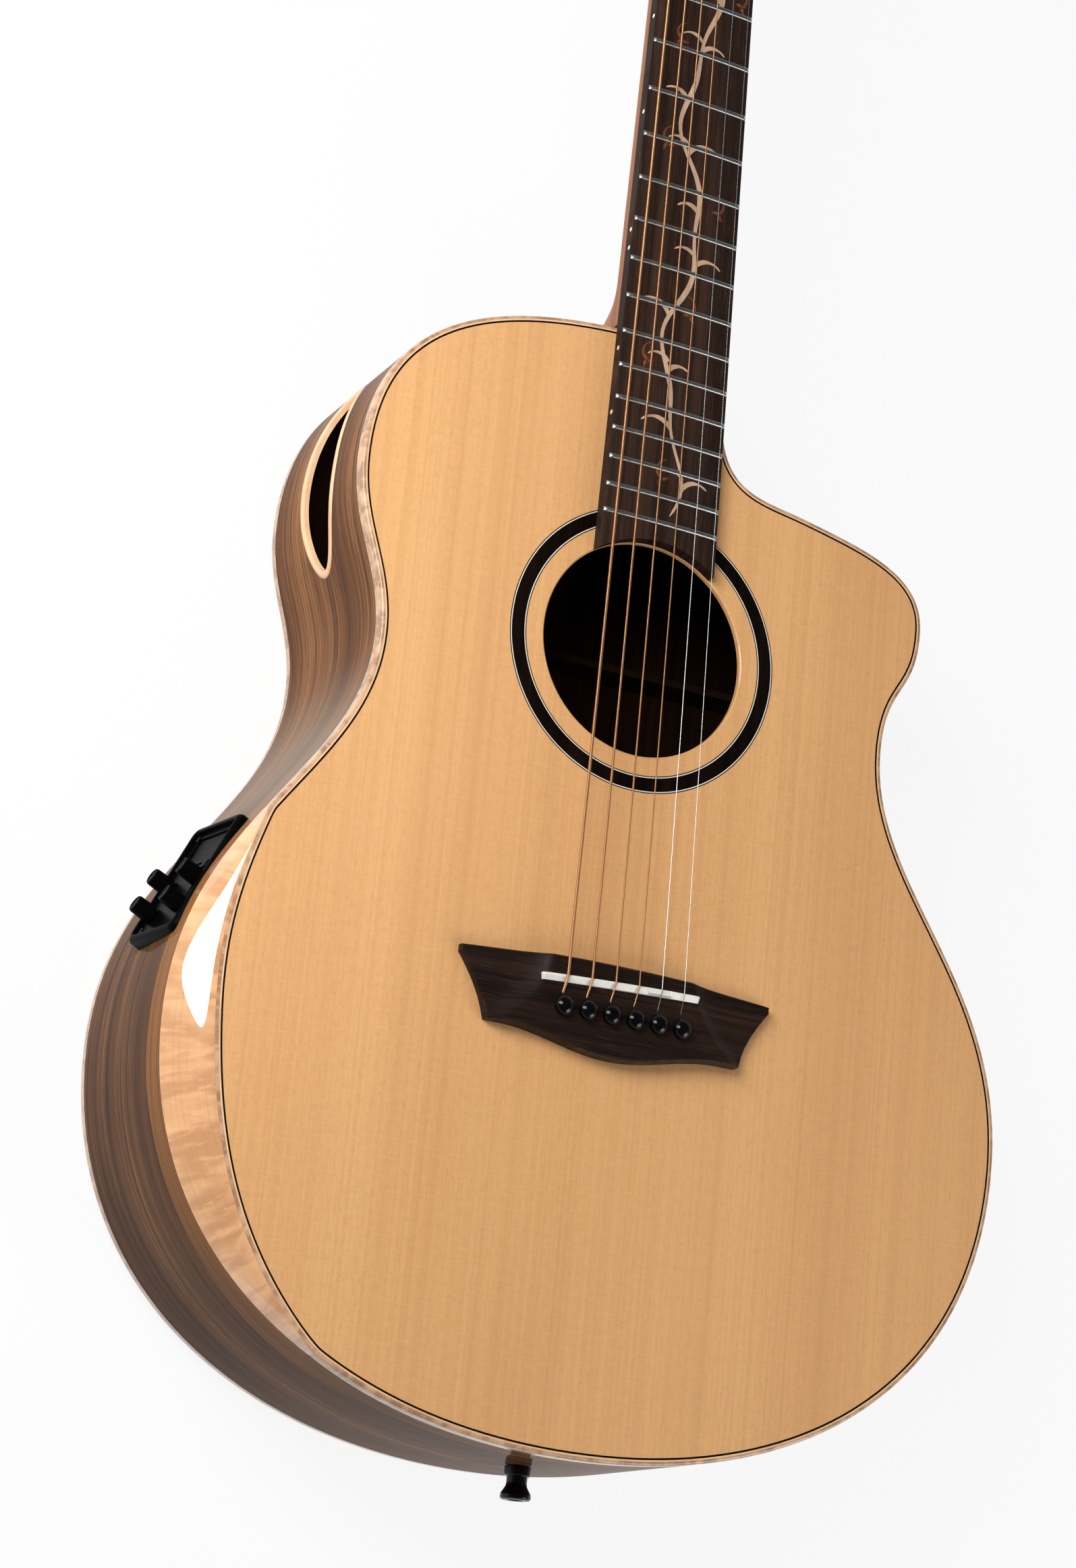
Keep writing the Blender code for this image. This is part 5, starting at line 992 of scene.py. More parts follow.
def make_port_trim():
    """The maple ring of the sound port, with rounded lips."""
    face = [(0.0, -0.0001), (0.12, 0.0003), (0.5, 0.0005), (0.88, 0.0003), (1.0, -0.0003)]
    section = face + [(1.0, -0.0024), (0.0, -0.0024), (0.0, -0.0005)]
    rings = []
    for a in circle(120):
        ring = []
        for share, lift in section:
            half_length, half_height = (h + (t - h) * share for h, t in zip(PORT_HOLE, PORT_TRIM))
            ring.append(port_point(a, half_length, half_height, lift))
        rings.append(ring)
    dress(loft("port_ring", rings, MAPLE_TRIM, closed=True, angle=50), "port_trim")


def make_back():
    """The domed back, joined along its middle by a pale line."""
    edge = np.array(outline(SHELL - 0.00025))
    centre = np.array((0.0, BACK_CENTRE_Y))
    shares = (1.0, 0.96, *(k / 10 for k in range(9, 0, -1)))
    lower = [[(x, y, back_rise(x, y)) for x, y in centre + (edge - centre) * s] for s in shares]
    rings = lower[::-1] + [[(x, y, z + BACK_THICK) for x, y, z in ring] for ring in lower]
    uv = [[(y, x) for x, y, z in ring] for ring in rings]
    dress(loft("back_panel", rings, BACK, uv=uv), "back_plate")
    corners = ((-SEAM_HALF, -HAIR), (SEAM_HALF, -HAIR), (SEAM_HALF, 0.001), (-SEAM_HALF, 0.001))
    stations = np.linspace(TAIL_Y + 0.003, SHOULDER_Y - 0.003, 80)
    strip = [[(x, y, back_rise(0.0, y) + z) for x, z in corners] for y in stations]
    dress(loft("back_seam_line", strip, MAPLE_TRIM))


# Neck


def crown(x):
    return x * x / (2 * BOARD_RADIUS)


def board_half(y):
    return NUT_HALF + (BODY_HALF - NUT_HALF) / (SCALE - BODY_JOINT) * (SCALE - y)


def fret_y(number):
    return SCALE * 2 ** (-number / 12)


def half_round(power, steps):
    """Shares across and down of a half superellipse, from one side under to the other."""
    points = []
    for k in range(steps + 1):
        a = pi * k / steps
        across = copysign(abs(cos(a)) ** (2 / power), cos(a))
        points.append((across, sin(a) ** (2 / power) if 0 < k < steps else 0.0))
    return points


def make_fretboard():
    """The crowned board, which ends on the soundhole's edge, and its frets."""
    corner, end = board_half(HOLE_Y + HOLE_R), SCALE - GAP
    rings = []
    for share in (-1.0, -0.97, *np.linspace(-0.85, 0.85, 13), 0.97, 1.0):
        near_x = share * corner
        near_y = HOLE_Y + sqrt(HOLE_R**2 - near_x**2)
        round_off = 0.0004 if abs(share) == 1 else 0.0
        ring = []
        for t, under in ((0.0, True), *[(k / 14, False) for k in range(15)], (1.0, True)):
            y = near_y + (end - near_y) * t
            x = share * board_half(y) if t else near_x
            ring.append((x, y, BOARD_LOW if under else BOARD_TOP - crown(x) - round_off))
        rings.append(ring)
    dress(loft("fingerboard", rings, BOARD), "fretboard")
    joined("fret_wires", [fret(fret_y(number)) for number in range(1, FRETS + 1)])


def fret(y):
    """A domed wire that follows the board's crown and is bevelled at its ends."""
    half, bevel = board_half(y) - GAP, 0.96
    rings = []
    for share in (-1.0, -0.985, -0.965, *np.linspace(-0.93, 0.93, 15), 0.965, 0.985, 1.0):
        x, out = share * half, abs(share)
        lift = 1.0 if out < bevel else max(0.12, 1 - ((out - bevel) / 0.04) ** 1.5)
        low, high = BOARD_TOP - crown(x) - 0.0001, (FRET_HEIGHT - 0.0002) * lift
        turn = [pi * k / 8 for k in range(9)]
        ring = [(x, y - FRET_HALF * cos(a), low + high * sin(a) ** 0.8) for a in turn]
        rings.append(ring + [(x, y, low - 0.0004)])
    return loft("fret", rings, NICKEL, angle=60)


def ribbon(name, points, widths, finish):
    """A thin inlaid strip along plan points, lying in the board's crowned face."""
    rings = []
    for k, (x, y) in enumerate(points):
        before, after = points[max(0, k - 1)], points[min(len(points) - 1, k + 1)]
        dx, dy = after[0] - before[0], after[1] - before[1]
        length = hypot(dx, dy) or 1.0
        plan = [(x - dy / length * w, y + dx / length * w) for w in (-widths[k] / 2, widths[k] / 2)]
        face = [(px, py, BOARD_TOP - crown(px) + 3 * HAIR) for px, py in plan]
        rings.append(face + [(px, py, z - 0.0006) for px, py, z in face[::-1]])
    return loft(name, rings, finish)


def curl(x, y, heading, turn, length, width, finish, steps=14):
    """A leaf or tendril: a strip whose heading turns steadily and whose width swells and fades."""
    points, widths = [], []
    for k in range(steps + 1):
        t = k / steps
        points.append((x, y))
        swell = (0.6 + 0.4 * sin(pi * min(1.0, t * 1.5))) * (1 - 0.45 * t)
        widths.append(width * swell * (0.35 if k == steps else 1.0))
        angle = heading + turn * t
        x += cos(angle) * length / steps
        y += sin(angle) * length / steps
    return ribbon("curl", points, widths, finish)


def make_inlay():
    """A plain climbing vine: a slow wave for its stem, with leaves and small berries by turns."""
    low, high = fret_y(FRETS) + 0.004, fret_y(1) - 0.006
    count, leaves, up = 150, 15, pi / 2

    def stem_x(y):
        t = (y - low) / (high - low)
        return 0.0062 * sin(2 * pi * 3.4 * t + 0.6) + 0.0022 * sin(2 * pi * 8.1 * t)

    points = [(stem_x(y), y) for y in np.linspace(low, high, count)]
    swells = [min(1.0, 6 * k / count) * (0.7 + 0.3 * sin(k * 0.35)) for k in range(count)]
    widths = [0.0003, *[0.0011 + 0.0014 * swell for swell in swells[1:-1]], 0.0003]
    pieces, red = [ribbon("stem", points, widths, INLAY)], []
    for k in range(leaves):
        y = low + (high - low) * (k + 0.5) / leaves
        x, side = stem_x(y), -1 if k % 2 else 1
        heading = up - side * (0.45 + 0.15 * sin(k * 1.7))
        pieces.append(curl(x, y, heading, -side * 1.9, 0.0150 + 0.003 * sin(k * 2.3), 0.0026, INLAY))
        if k % 2 == 0:
            pieces.append(curl(x, y + 0.005, up + side * 0.6, side * 1.8, 0.0120, 0.0021, INLAY))
        if k % 3 != 1:
            red += berries(x - side * 0.0105, y + 0.0030, k, side)
    joined("inlay_vine", pieces)
    joined("inlay_berries", red)


def berries(x, y, first, side):
    """A tendril with three short curls about its start."""
    made = [curl(x, y, pi / 2 + side * 0.9, -side * 2.4, 0.0120, 0.0013, INLAY_RED)]
    for angle in circle(3):
        a = angle + first
        spot = x + 0.0006 * cos(a), y + 0.0006 * sin(a)
        made.append(curl(*spot, a, 0.9, 0.0032, 0.0018, INLAY_RED, 8))
    return made


def make_side_dots():
    """A dot between frets on the bass edge, and a pair of them at the octave."""
    dots = []
    shifts = {12: (0.0045, -0.0045)}
    for number, shift in [(k, shift) for k in DOT_FRETS for shift in shifts.get(k, (0.0,))]:
        y = (fret_y(number) + fret_y(number - 1)) / 2 + shift
        matrix = at((0.001 - board_half(y), y, BOARD_LOW + 0.0035), -pi / 2, "Y")
        dots.append(turned("dot", [(0.0, 0.0010), (0.00106, 0.0010)], matrix, WHITE_LINE, 20))
    joined("side_dots", dots)


def make_nut():
    rings = []
    end = NUT_END - 0.001
    for share in (-1.0, -0.97, *np.linspace(-0.9, 0.9, 13), 0.97, 1.0):
        x = share * board_half(SCALE)
        top = BOARD_TOP + NUT_HEIGHT - crown(x) - (0.0007 if abs(share) == 1 else 0.0)
        side = [
            (SCALE, BOARD_LOW), (SCALE, top - 0.0003), (SCALE + 0.0005, top),
            (end - 0.0006, top - 0.0007), (end, top - 0.0014), (end, BOARD_LOW),
        ]
        rings.append([(x, y, z) for y, z in side])
    dress(loft("nut_bone", rings, BONE), "nut")


def neck_section(y):
    """The shaft's half round, deeper and fuller towards the heel, down to the back."""
    first, last = NECK_DEPTHS
    shaft = first + (last - first) * (y - NECK_START) / (NUT_END - NECK_START)
    heel = 1 / (1 + ((y - NECK_START) / HEEL_REACH) ** 3.0)
    width, depth = board_half(y), shaft + (HEEL_DEPTH - shaft) * heel
    floor = back_rise(0.0, SHOULDER_Y) + 10 * HAIR
    power = 1.35 + 0.85 * min(1.0, first / depth) ** 2
    return [(width * across, y, max(TOP - depth * down, floor)) for across, down in half_round(power, 36)]


HEAD = at((0.0, NUT_END, TOP - 0.0010), -HEAD_ANGLE)


def on_head(x, y):
    return HEAD @ at((x, y, 0.0))


def head_half(u):
    share = min(1.0, max(0.0, u / HEAD_FLARE))
    full = NUT_HALF + (HEAD_HALF - NUT_HALF) * share * share * (3 - 2 * share)
    return full - (HEAD_HALF - HEAD_TIP_HALF) * max(0.0, u - HEAD_FLARE) / (HEAD_LENGTH - HEAD_FLARE)


def head_plan(inset):
    """The headstock's outline: flared sides and a rounded tip."""
    straight_end = HEAD_LENGTH - HEAD_TIP_ROUND
    plan = [(head_half(u) - inset, u) for u in np.linspace(0.0, straight_end, 30)]
    for k in range(1, 13):
        a = pi / 2 * k / 12
        half = (HEAD_TIP_HALF - inset) * cos(a) ** 0.55 if k < 12 else 0.0
        plan.append((half, straight_end + (HEAD_TIP_ROUND - inset) * sin(a)))
    return plan + [(-x, y) for x, y in plan[:-1][::-1]]


def head_board(name, levels, finish):
    """A layer of the headstock through levels of (height, inset), bored for the posts."""
    rings = [framed(HEAD, [(x, y, z) for x, y in head_plan(inset)]) for z, inset in levels]
    board = loft(name, rings, finish, angle=50)
    dress(board)
    for side, u in TUNERS:
        drill(board, -0.03, 0.01, BORE_R, on_head(side * TUNER_X, u))


def make_neck():
    near = NECK_START + 0.09 * (np.linspace(0, 1, 40) ** 1.4)
    stations = (*near, *np.linspace(0.40, NUT_END, 12))
    neck = loft("neck_shaft", [neck_section(y) for y in stations], NECK, angle=60)
    dress(neck, "neck")
    ease = 0.0012
    head = ((-HEAD_THICK, ease), (-HEAD_THICK + ease, 0.0), (-FACE_THICK, 0.0))
    head_board("headstock", head, NECK)
    face = ((-FACE_THICK, 0.0), (-0.0006, 0.0), (0.0, 0.0006))
    head_board("headstock_face", face, BOARD)
    throat = []
    for t in np.linspace(0.0, 1.0, 12):
        y = NUT_END - THROAT_START + THROAT_LENGTH * t
        width = (NUT_HALF + 0.004 * max(0.0, t - 0.6)) * 0.985
        high = TOP - 0.0016 - 0.010 * t
        depth = (0.0150 * (1 - t) + 0.0200 * t) * 0.93 * (1 - 0.25 * t)
        throat.append([(width * across, y, high - depth * down) for across, down in half_round(2.2, 24)])
    dress(loft("neck_throat", throat, NECK, angle=60))


# Bridge, saddle, pins and strings


def bridge_front(x):
    return 0.0052 - 0.0030 * (abs(x) / BRIDGE_HALF) ** 2.2


def bridge_back(x):
    out, low = abs(x), -0.0268
    if out <= WING_X:
        return low - 0.0072 * (0.5 + 0.5 * cos(pi * min(1.0, out / WING_X * 1.15)))
    return low + 0.0262 * ((out - WING_X) / (BRIDGE_HALF - WING_X)) ** 0.65


def bridge_top(x, y, rim):
    """Full height in the middle, a scoop like a drum's cut in each wing, and an eased rim."""
    full = BRIDGE_TOP - BRIDGE_LOW
    edge = 0.0330 + 0.024 * ((0.006 - min(y, 0.006)) / 0.034) ** 2.0
    t = (abs(x) - edge) / max(0.006, BRIDGE_HALF - edge)
    height = full if t <= 0 else WING_HEIGHT + (full - WING_HEIGHT) * max(0.0, 1 - t * 1.15) ** 4.2
    soft = BRIDGE_ROUND
    fall = 0.0 if rim >= soft else soft - sqrt(max(0.0, soft**2 - (soft - rim) ** 2))
    return BRIDGE_LOW + height - fall


def bridge_faces(columns, size):
    """Faces of a block whose points run column by column, first a column's floor, then its top."""
    faces = []
    for i in range(columns - 1):
        here, after = i * 2 * size, (i + 1) * 2 * size
        for j in range(size - 1):
            a, b = here + size + j, after + size + j
            faces.append((a, a + 1, b + 1, b))
            a, b = here + j, after + j
            faces.append((a, b, b + 1, a + 1))
        for a, b in ((here, after), (here + size - 1, after + size - 1)):
            faces.append((a, a + size, b + size, b))
    for i in (0, columns - 1):
        for a in range(i * 2 * size, i * 2 * size + size - 1):
            faces.append((a, a + 1, a + 1 + size, a + size))
    return faces


def make_bridge():
    """The carved bridge with its slot for the saddle."""
    columns = [-1.0, -0.994, -0.98, *np.linspace(-0.96, 0.96, 91), 0.98, 0.994, 1.0]
    rows = [0.0, 0.02, 0.05, *np.linspace(0.09, 0.91, 30), 0.95, 0.98, 1.0]
    points = []
    for x in (share * BRIDGE_HALF for share in columns):
        front, back = bridge_front(x), bridge_back(x)
        ys = [back + (front - back) * t for t in rows]
        points += [(x, y, BRIDGE_LOW) for y in ys]
        points += [(x, y, bridge_top(x, y, min(y - back, front - y, BRIDGE_HALF - abs(x)))) for y in ys]
    bridge = new_object("bridge_carved", points, bridge_faces(len(columns), len(rows)), BRIDGE)
    dress(bridge, "bridge")
    x, y = SADDLE_SLOT
    pocket(bridge, (-x, -y, -0.005), (x, y, 0.01), SADDLE)


SADDLE = at((*SADDLE_AT, BRIDGE_TOP), SADDLE_SKEW, "Z")


def make_saddle():
    """Bone with its crest stepped back for the second string, as compensation."""
    places = (-1.0, 0.30, 0.31, 0.60, 0.61, 0.86, 1.0)
    crests = (0.0, 0.0, -0.0013, -0.0013, 0.0005, 0.0005, 0.0005)
    half, low = 0.0015, -0.004
    rings = []
    for share in sorted({-0.985, -0.95, -0.6, -0.3, 0.0, 0.95, 0.985, *places}):
        x, y = share * SADDLE_HALF, 0.0005 + np.interp(share, places, crests)
        drop = 0.0012 if abs(share) == 1 else (0.0004 if abs(share) > 0.98 else 0.0)
        high = SADDLE_HIGH - crown(x) - drop
        side = [
            (-half, low), (half, low), (half, high - 0.0007),
            (min(0.0013, y + 0.0004), high - 0.0001), (y, high), (-half, high - half),
        ]
        rings.append(framed(SADDLE, [(x, across, z) for across, z in side]))
    dress(loft("saddle_bone", rings, BONE, angle=25), "saddle")


def make_pins():
    """Tapered pins with round heads."""
    under = -0.72
    profile = [(-0.022, 0.0015), (-0.001, 0.0025), (0.0001, 0.0026), (0.0002, 0.0029)]
    for k in range(13):
        a = under + (pi / 2 - under) * k / 12
        profile.append((0.0024 + 0.0031 * sin(a), max(0.00005, PIN_HEAD * cos(a))))
    for index in range(6):
        matrix = at(((index - 2.5) * PIN_SPACING, PIN_Y, BRIDGE_TOP))
        pin = turned(f"pin_{index + 1}", profile, matrix, BLACK, 36, angle=60)
        dress(pin, f"bridge_pin_{index + 1}")


def string_route(index):
    """From the pin over the saddle and the nut, then round the post."""
    radius, share = STRING_RADII[index], index / 5 - 0.5
    x = SADDLE_SPREAD * share
    saddle_y = SADDLE_AT[1] + 0.0006 + (x - SADDLE_AT[0]) * tan(SADDLE_SKEW)
    over = Vector((x, saddle_y, BRIDGE_TOP + SADDLE_HIGH - crown(x) + radius + 0.0001))
    start = Vector(((index - 2.5) * PIN_SPACING, PIN_Y + 0.0040, BRIDGE_TOP - radius - 0.0010))
    nut_x = NUT_SPREAD * share
    at_nut = Vector((nut_x, SCALE + 0.001, BOARD_TOP - crown(nut_x) + 0.0016 + radius))
    points = [start]
    for t in (0.35, 0.7, 0.86, 0.94, 1.0):
        points.append(start.lerp(over, t) + Vector((0, 0, 0.0002 * sin(pi * t))))
    points += [over.lerp(at_nut, t) for t in (0.002, 0.01, 0.1, 0.3, 0.5, 0.7, 0.9, 0.99, 1.0)]
    side, u = TUNERS[index]
    coil = POST_R + 0.00005 + radius
    local = HEAD.inverted() @ at_nut
    away = Vector((local.x - side * TUNER_X, local.y - u))
    first = atan2(away.y, away.x) - side * acos(coil / away.length)
    for k in range(int(COIL_TURNS * COIL_STEPS) + 1):
        angle = first - side * 2 * pi * k / COIL_STEPS
        height = COIL_LOW + (2 * radius + COIL_GAP) * k / COIL_STEPS
        spot = (side * TUNER_X + coil * cos(angle), u + coil * sin(angle), height)
        points.append(HEAD @ Vector(spot))
    return points


def make_strings():
    for index, radius in enumerate(STRING_RADII):
        finish, slot = (BRONZE, "bronze") if index < WOUND else (STEEL, "steel")
        made = sweep(f"string_run_{index + 1}", string_route(index), radius, finish)
        dress(made, f"string_{index + 1}")


# Tuners


def make_tuner_plates():
    """A plate per side with its gear housings and screws, and the posts' collars on the face."""
    ring = [(-0.012, 0.0044), (0.0003, 0.0044), (0.0003, 0.0062), (0.0012, 0.0062), (0.0021, 0.0052)]
    ring += [(0.0021, 0.0034), (-0.012, 0.0034)]
    dome = [(-0.001, 0.002), (0.0002, 0.0022), (0.0008, 0.0016), (0.001, 0.0004)]
    top, under = PLATE_LEVEL, PLATE_LEVEL - PLATE_THICK
    half, long = HOUSING_HALF
    bottom, roof = (top - depth for depth in HOUSING_LEVELS)
    for side, word in ((-1, "bass"), (1, "treble")):
        places = [u for s, u in TUNERS if s == side]
        x, near, far = side * TUNER_X, min(places), max(places)
        low, high = (x - PLATE_HALF, near - PLATE_ENDS[0], under), (x + PLATE_HALF, far + PLATE_ENDS[1], top)
        plate = box(f"tuner_base_{word}", low, high, CHROME, HEAD, edge=0.0004)
        dress(plate, f"tuner_plate_{word}")
        housings, collars, screws = [], [], []
        for u in places:
            middle = u + WORM_OFFSET / 2
            low, high = (x - half, middle - long, bottom), (x + half, middle + long, roof)
            housings.append(box("housing", low, high, CHROME, HEAD, edge=0.0022))
            collars.append(turned("collar", ring, on_head(x, u), CHROME, 36))
        for u in (near - PLATE_SCREWS[0], far + PLATE_SCREWS[1]):
            screws.append(turned("screw", dome, HEAD @ at((x, u, under), pi), CHROME, 24))
        joined(f"tuner_housings_{word}", housings)
        joined(f"tuner_collars_{word}", collars)
        joined(f"tuner_screws_{word}", screws)


def make_post(index, side, u):
    """A post with its gear below the plate and a hole for the string."""
    gear, low, high = 0.0054, WORM_LEVEL - 0.0016, WORM_LEVEL + 0.0016
    shape = [(low, gear), (high, gear), (high, POST_R), (0.0040, POST_R), (0.0100, 0.00285)]
    shape += [(0.0130, 0.0029), (0.0178, POST_R), (0.0186, 0.0027), (0.0189, 0.0020)]
    name = f"tuner_post_{index}"
    post = turned(f"post_{index}", shape, on_head(side * TUNER_X, u), CHROME, 32, name)
    drill(post, 0, 0.012, 0.0009, HEAD @ at((side * TUNER_X - 0.006, u, 0.0145), pi / 2, "Y"), 16)
    dress(post, name)


def make_button(index, side, u):
    """A worm shaft out of the side, with a collar and a flattened button."""
    across, up, out = HEAD.col[1].to_3d(), HEAD.col[2].to_3d(), Vector((side, 0, 0))
    turn = Matrix((across * side, up, out)).transposed().to_4x4()
    centre = HEAD @ Vector((side * TUNER_X, u + WORM_OFFSET, WORM_LEVEL))
    edge, shaft, worm = HEAD_HALF - TUNER_X + 0.0065, 0.0017, 0.0021
    shape = [(-0.00425, worm), (0.00425, worm), (0.00425, shaft), (edge - 0.0035, shaft)]
    shape += [(edge - 0.0032, 0.0026), (edge - 0.0014, 0.0026), (edge, 0.0022, 0.0020)]
    for k in range(1, 15):
        a = pi * k / 15
        wide, flat = 0.0020 + 0.0067 * sin(a) ** 0.8, 0.0014 + 0.0021 * sin(a) ** 0.6
        shape.append((edge + 0.0075 * (1 - cos(a)), wide, flat))
    shape.append((edge + 0.0150, 0.0008, 0.0006))
    name = f"tuner_button_{index}"
    matrix = Matrix.Translation(centre) @ turn
    dress(turned(f"button_{index}", shape, matrix, CHROME, 36, name, 50), name)


def make_tuners():
    make_tuner_plates()
    for index, (side, u) in enumerate(TUNERS, 1):
        make_post(index, side, u)
        make_button(index, side, u)


# Preamp and jack


def preamp_axes():
    along = Vector((cos(PREAMP_HEADING), sin(PREAMP_HEADING), 0))
    level = Vector((-sin(PREAMP_HEADING), cos(PREAMP_HEADING), 0))
    out = level * cos(PREAMP_LEAN) + Vector((0, 0, 1)) * sin(PREAMP_LEAN)
    turn = Matrix((along, out.cross(along), out)).transposed().to_4x4()
    return Matrix.Translation(PREAMP_AT) @ turn


PREAMP = preamp_axes()
JACK = at((0, TAIL_Y, PORT_Z), -pi / 2)


def rounded(inset, z, r, steps=6):
    """A rounded rectangle in the preamp's plane, inset from its rim."""
    x_half, y_half = (half - inset for half in PREAMP_HALF)
    points = []
    for turn, (sx, sy) in enumerate(((1, 1), (-1, 1), (-1, -1), (1, -1))):
        for step in range(steps + 1):
            a = pi / 2 * (turn + step / steps)
            points.append((sx * (x_half - r) + r * cos(a), sy * (y_half - r) + r * sin(a), z))
    return framed(PREAMP, points)


def make_preamp():
    """The raised rim, its sunken panel, a bare label place, a small button and three screws."""
    levels = [
        (0.0, -0.0155, 0.004), (0.0, -0.0020, 0.004), (0.0006, -0.0008, 0.004), (0.0018, -0.0001, 0.0035),
        (0.0027, -0.0001, 0.003), (0.0032, -0.0006, 0.0025), (0.0033, PANEL, 0.0025),
    ]
    bezel = loft("preamp_frame", [rounded(*level) for level in levels], SATIN)
    cut(bezel, prism("body_cut", outline(0.0002), -0.02, TOP + 0.02, SATIN, None))
    dress(bezel, "preamp_bezel")
    pocket(bezel, (0.0100, -0.0165, PANEL - 0.0007), (0.0235, 0.0150, 0.01), PREAMP)
    pocket(bezel, (0.0035, -0.0145, PANEL - 0.0005), (0.0080, 0.0020, 0.01), PREAMP)
    low, high = (0.0040, -0.0135, PANEL - 0.0006), (0.0075, -0.0085, PANEL + 0.0008)
    dress(box("preamp_button", low, high, SATIN, PREAMP, edge=0.0003))
    screws = []
    dome = [(-0.001, 0.0016), (0.0004, 0.0016), (0.0007, 0.0012), (0.0007, 0.0002)]
    for sx, sy in ((-1, 1), (-1, -1), (1, 1)):
        spot = (sx * (PREAMP_HALF[0] - 0.0058), sy * (PREAMP_HALF[1] - 0.0062), PANEL)
        screws.append(turned("screw", dome, PREAMP @ at(spot), DARK_METAL, 20))
    joined("preamp_screws", screws)


def make_knobs():
    """Four ridged knobs on thin shafts, each level given as (height, radius, ridged)."""
    levels = (
        (-0.012, 0.0015, 0), (-0.0013, 0.0015, 0), (-0.0013, 0.0040, 0), (-0.0006, 0.0040, 1),
        (0.0064, 0.0038, 1), (0.0072, 0.0035, 0), (0.0074, 0.0030, 0), (0.0071, 0.0024, 0),
    )
    spots = [(-0.0023 - 0.0140 * column, 0.0145 * row, 0) for column in (0, 1) for row in (-1, 1)]
    for number, spot in enumerate(spots, 1):
        rings = []
        for z, r, ridged in levels:
            sizes = [r - (0.00022 if ridged and k % 4 < 2 else 0.0) for k in range(72)]
            ring = [(size * cos(a), size * sin(a), z) for size, a in zip(sizes, circle(72))]
            rings.append(framed(PREAMP @ at(spot), ring))
        name = f"preamp_knob_{number}"
        dress(loft(f"knob_{number}", rings, SATIN, body=name, angle=30), name)


def make_jack():
    """The strap button with the jack's barrel, from its mouth inwards."""
    button = (
        (0.006, 0.0028), (0.0002, 0.0033), (0.0, 0.0037), (0.0, 0.0056), (0.0005, 0.0063), (0.0012, 0.0065),
        (0.0026, 0.0063), (0.0042, 0.0053), (0.0056, 0.0045), (0.0072, 0.0043),
    )
    barrel = [
        (-0.0046, 0.0044), (-0.0043, 0.0052), (-0.0038, 0.0056), (-0.0006, 0.0056), (-0.0003, 0.0054),
        (-0.0003, 0.0046), (0.0209, 0.0046), (0.0209, 0.0075), (0.0249, 0.0075), (0.0249, 0.0062),
        (0.0545, 0.0062), (0.0549, 0.0058),
    ]
    shape = [(JACK_OUT + height, r) for height, r in button] + barrel
    dress(turned("tail_jack", shape, JACK, DARK_METAL, 48, angle=30), "endpin_jack")


# Nodes that keep their solids

KEPT = {
    "neck_block": INSIDE_SHADE, "tail_block": INSIDE_SHADE, "bridge_plate": INSIDE_SHADE, "preamp_box": SATIN,
    "battery": BLACK, "truss_rod": STEEL, "saddle_pickup": STEEL,
}


def paint_kept():
    """The inner pieces keep their solids and get plain woods and metals; the inner wood is nearly black, as
    painted shade.
    """
    for name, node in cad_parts.items():
        wooden = "brac" in name or name.startswith("lining")
        finish = INSIDE_SHADE if wooden else KEPT.get(name)
        if finish and not node.hide_render:
            node.data.materials.clear()
            node.data.materials.append(finish)


# Camera, floor and light


def make_camera():
    data = bpy.data.cameras.new("camera")
    data.sensor_fit = "VERTICAL"
    data.sensor_height = data.sensor_width = SENSOR
    data.lens = FOCAL_PIXELS / PHOTO_HEIGHT * SENSOR
    data.clip_start, data.clip_end = 0.05, 50.0
    camera = placed("camera", data, None)
    turn = Matrix((CAMERA_RIGHT, -CAMERA_DOWN, -CAMERA_VIEW)).transposed().to_4x4()
    camera.matrix_world = Matrix.Translation(CAMERA_PLACE) @ turn
    bpy.context.scene.camera = camera


def lamp(name, shape, size, power, place, along, across):
    """A soft area lamp whose own two axes lie along and across."""
    data = bpy.data.lights.new(name, "AREA")
    data.shape, data.energy = shape, power
    data.size, data.size_y = size
    light = placed(name, data, None)
    light.location = place
    first = Vector(along).normalized()
    third = first.cross(Vector(across)).normalized()
    turn = Matrix((first, third.cross(first), third)).transposed()
    light.rotation_euler = turn.to_euler()


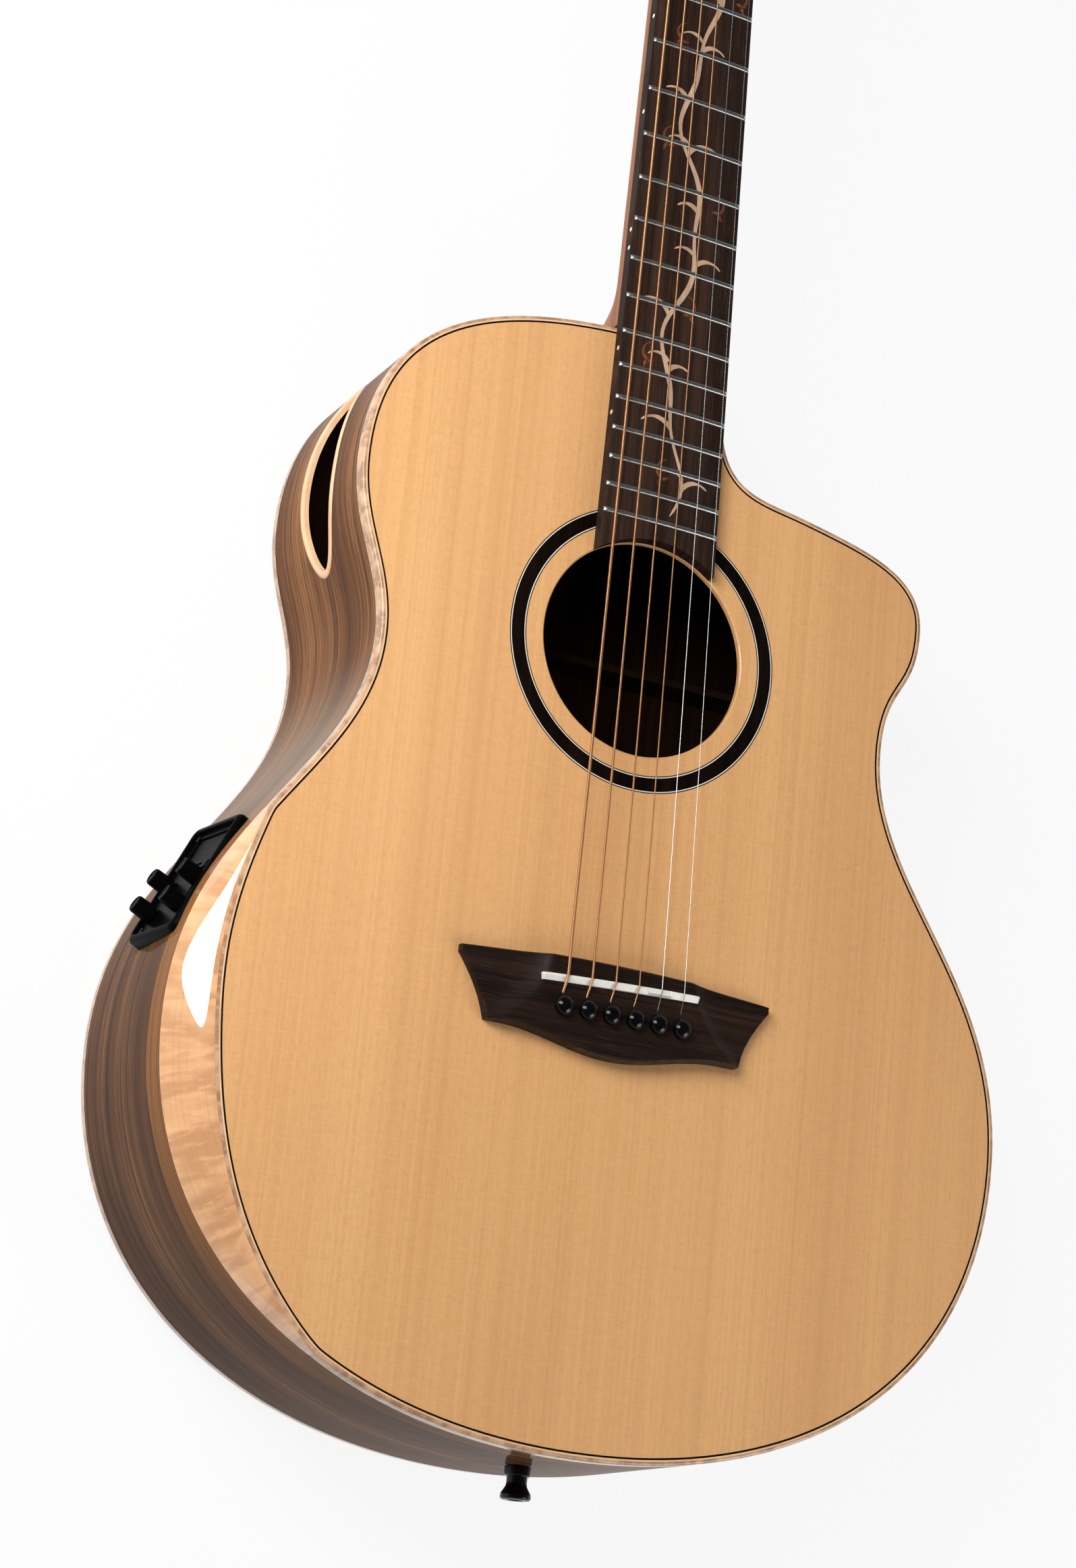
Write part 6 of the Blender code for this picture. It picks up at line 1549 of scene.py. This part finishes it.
def make_light():
    """A key lamp, a fill lamp and a pale world, brighter low down in mirrored rays."""
    key, fill = (-1.157, 0.505, 0.792), (0.80, -0.75, 0.66)
    lamp("key", "ELLIPSE", (1.87, 0.57), 29.0, key, (0.916, -0.400, -0.010), (0.394, 0.896, 0.205))
    lamp("fill", "RECTANGLE", (0.7, 0.7), 8.0, fill, (0.698, 0.716, 0.0), (-0.380, 0.371, 0.848))
    world = bpy.data.worlds.new("world")
    bpy.context.scene.world = world
    n = Nodes(world)
    rays = n.add("ShaderNodeLightPath").outputs
    height = n.split(n.add("ShaderNodeTexCoord").outputs["Generated"])[2]
    ceiling = n.ramp(height, [(0.10, 0.45), (0.60, 0.08)])
    mirrored = n.mix(rays["Is Glossy Ray"], (WORLD_LEVEL,) * 3, ceiling)
    shown = n.mix(rays["Is Camera Ray"], mirrored, (1.0, 1.0, 1.0))
    n.put(n.tree.nodes["Background"].inputs["Color"], shown)


def make_floor():
    """A white floor that keeps a light shadow."""
    n = material("floor")
    n.tree.nodes.clear()
    rays = n.add("ShaderNodeLightPath").outputs
    shown = n.math("MAXIMUM", rays["Is Camera Ray"], rays["Is Glossy Ray"])
    matt = n.add("ShaderNodeBsdfDiffuse", {"Color": (0.80, 0.80, 0.80)}).outputs["BSDF"]
    glow = n.add("ShaderNodeEmission").outputs["Emission"]
    mix = n.add("ShaderNodeMixShader", {0: n.times(shown, FLOOR_GLOW), 1: matt, 2: glow})
    n.add("ShaderNodeOutputMaterial", {"Surface": mix.outputs["Shader"]})
    mesh = bpy.data.meshes.new("floor")
    corners = [(x * FLOOR_REACH, y * FLOOR_REACH, 0) for x, y in ((-1, -1), (1, -1), (1, 1), (-1, 1))]
    mesh.from_pydata(corners, [], [(0, 1, 2, 3)])
    mesh.materials.append(n.owner)
    placed("floor", mesh, None)


make_soundboard()
make_rosette()
make_edges()
make_armrest()
make_ribs()
make_treble_linings()
make_port_trim()
make_back()
make_fretboard()
make_inlay()
make_side_dots()
make_nut()
make_neck()
make_bridge()
make_saddle()
make_pins()
make_strings()
make_tuners()
make_preamp()
make_knobs()
make_jack()
paint_kept()
make_camera()
make_light()
make_floor()
bpy.context.scene.view_settings.view_transform = "Standard"
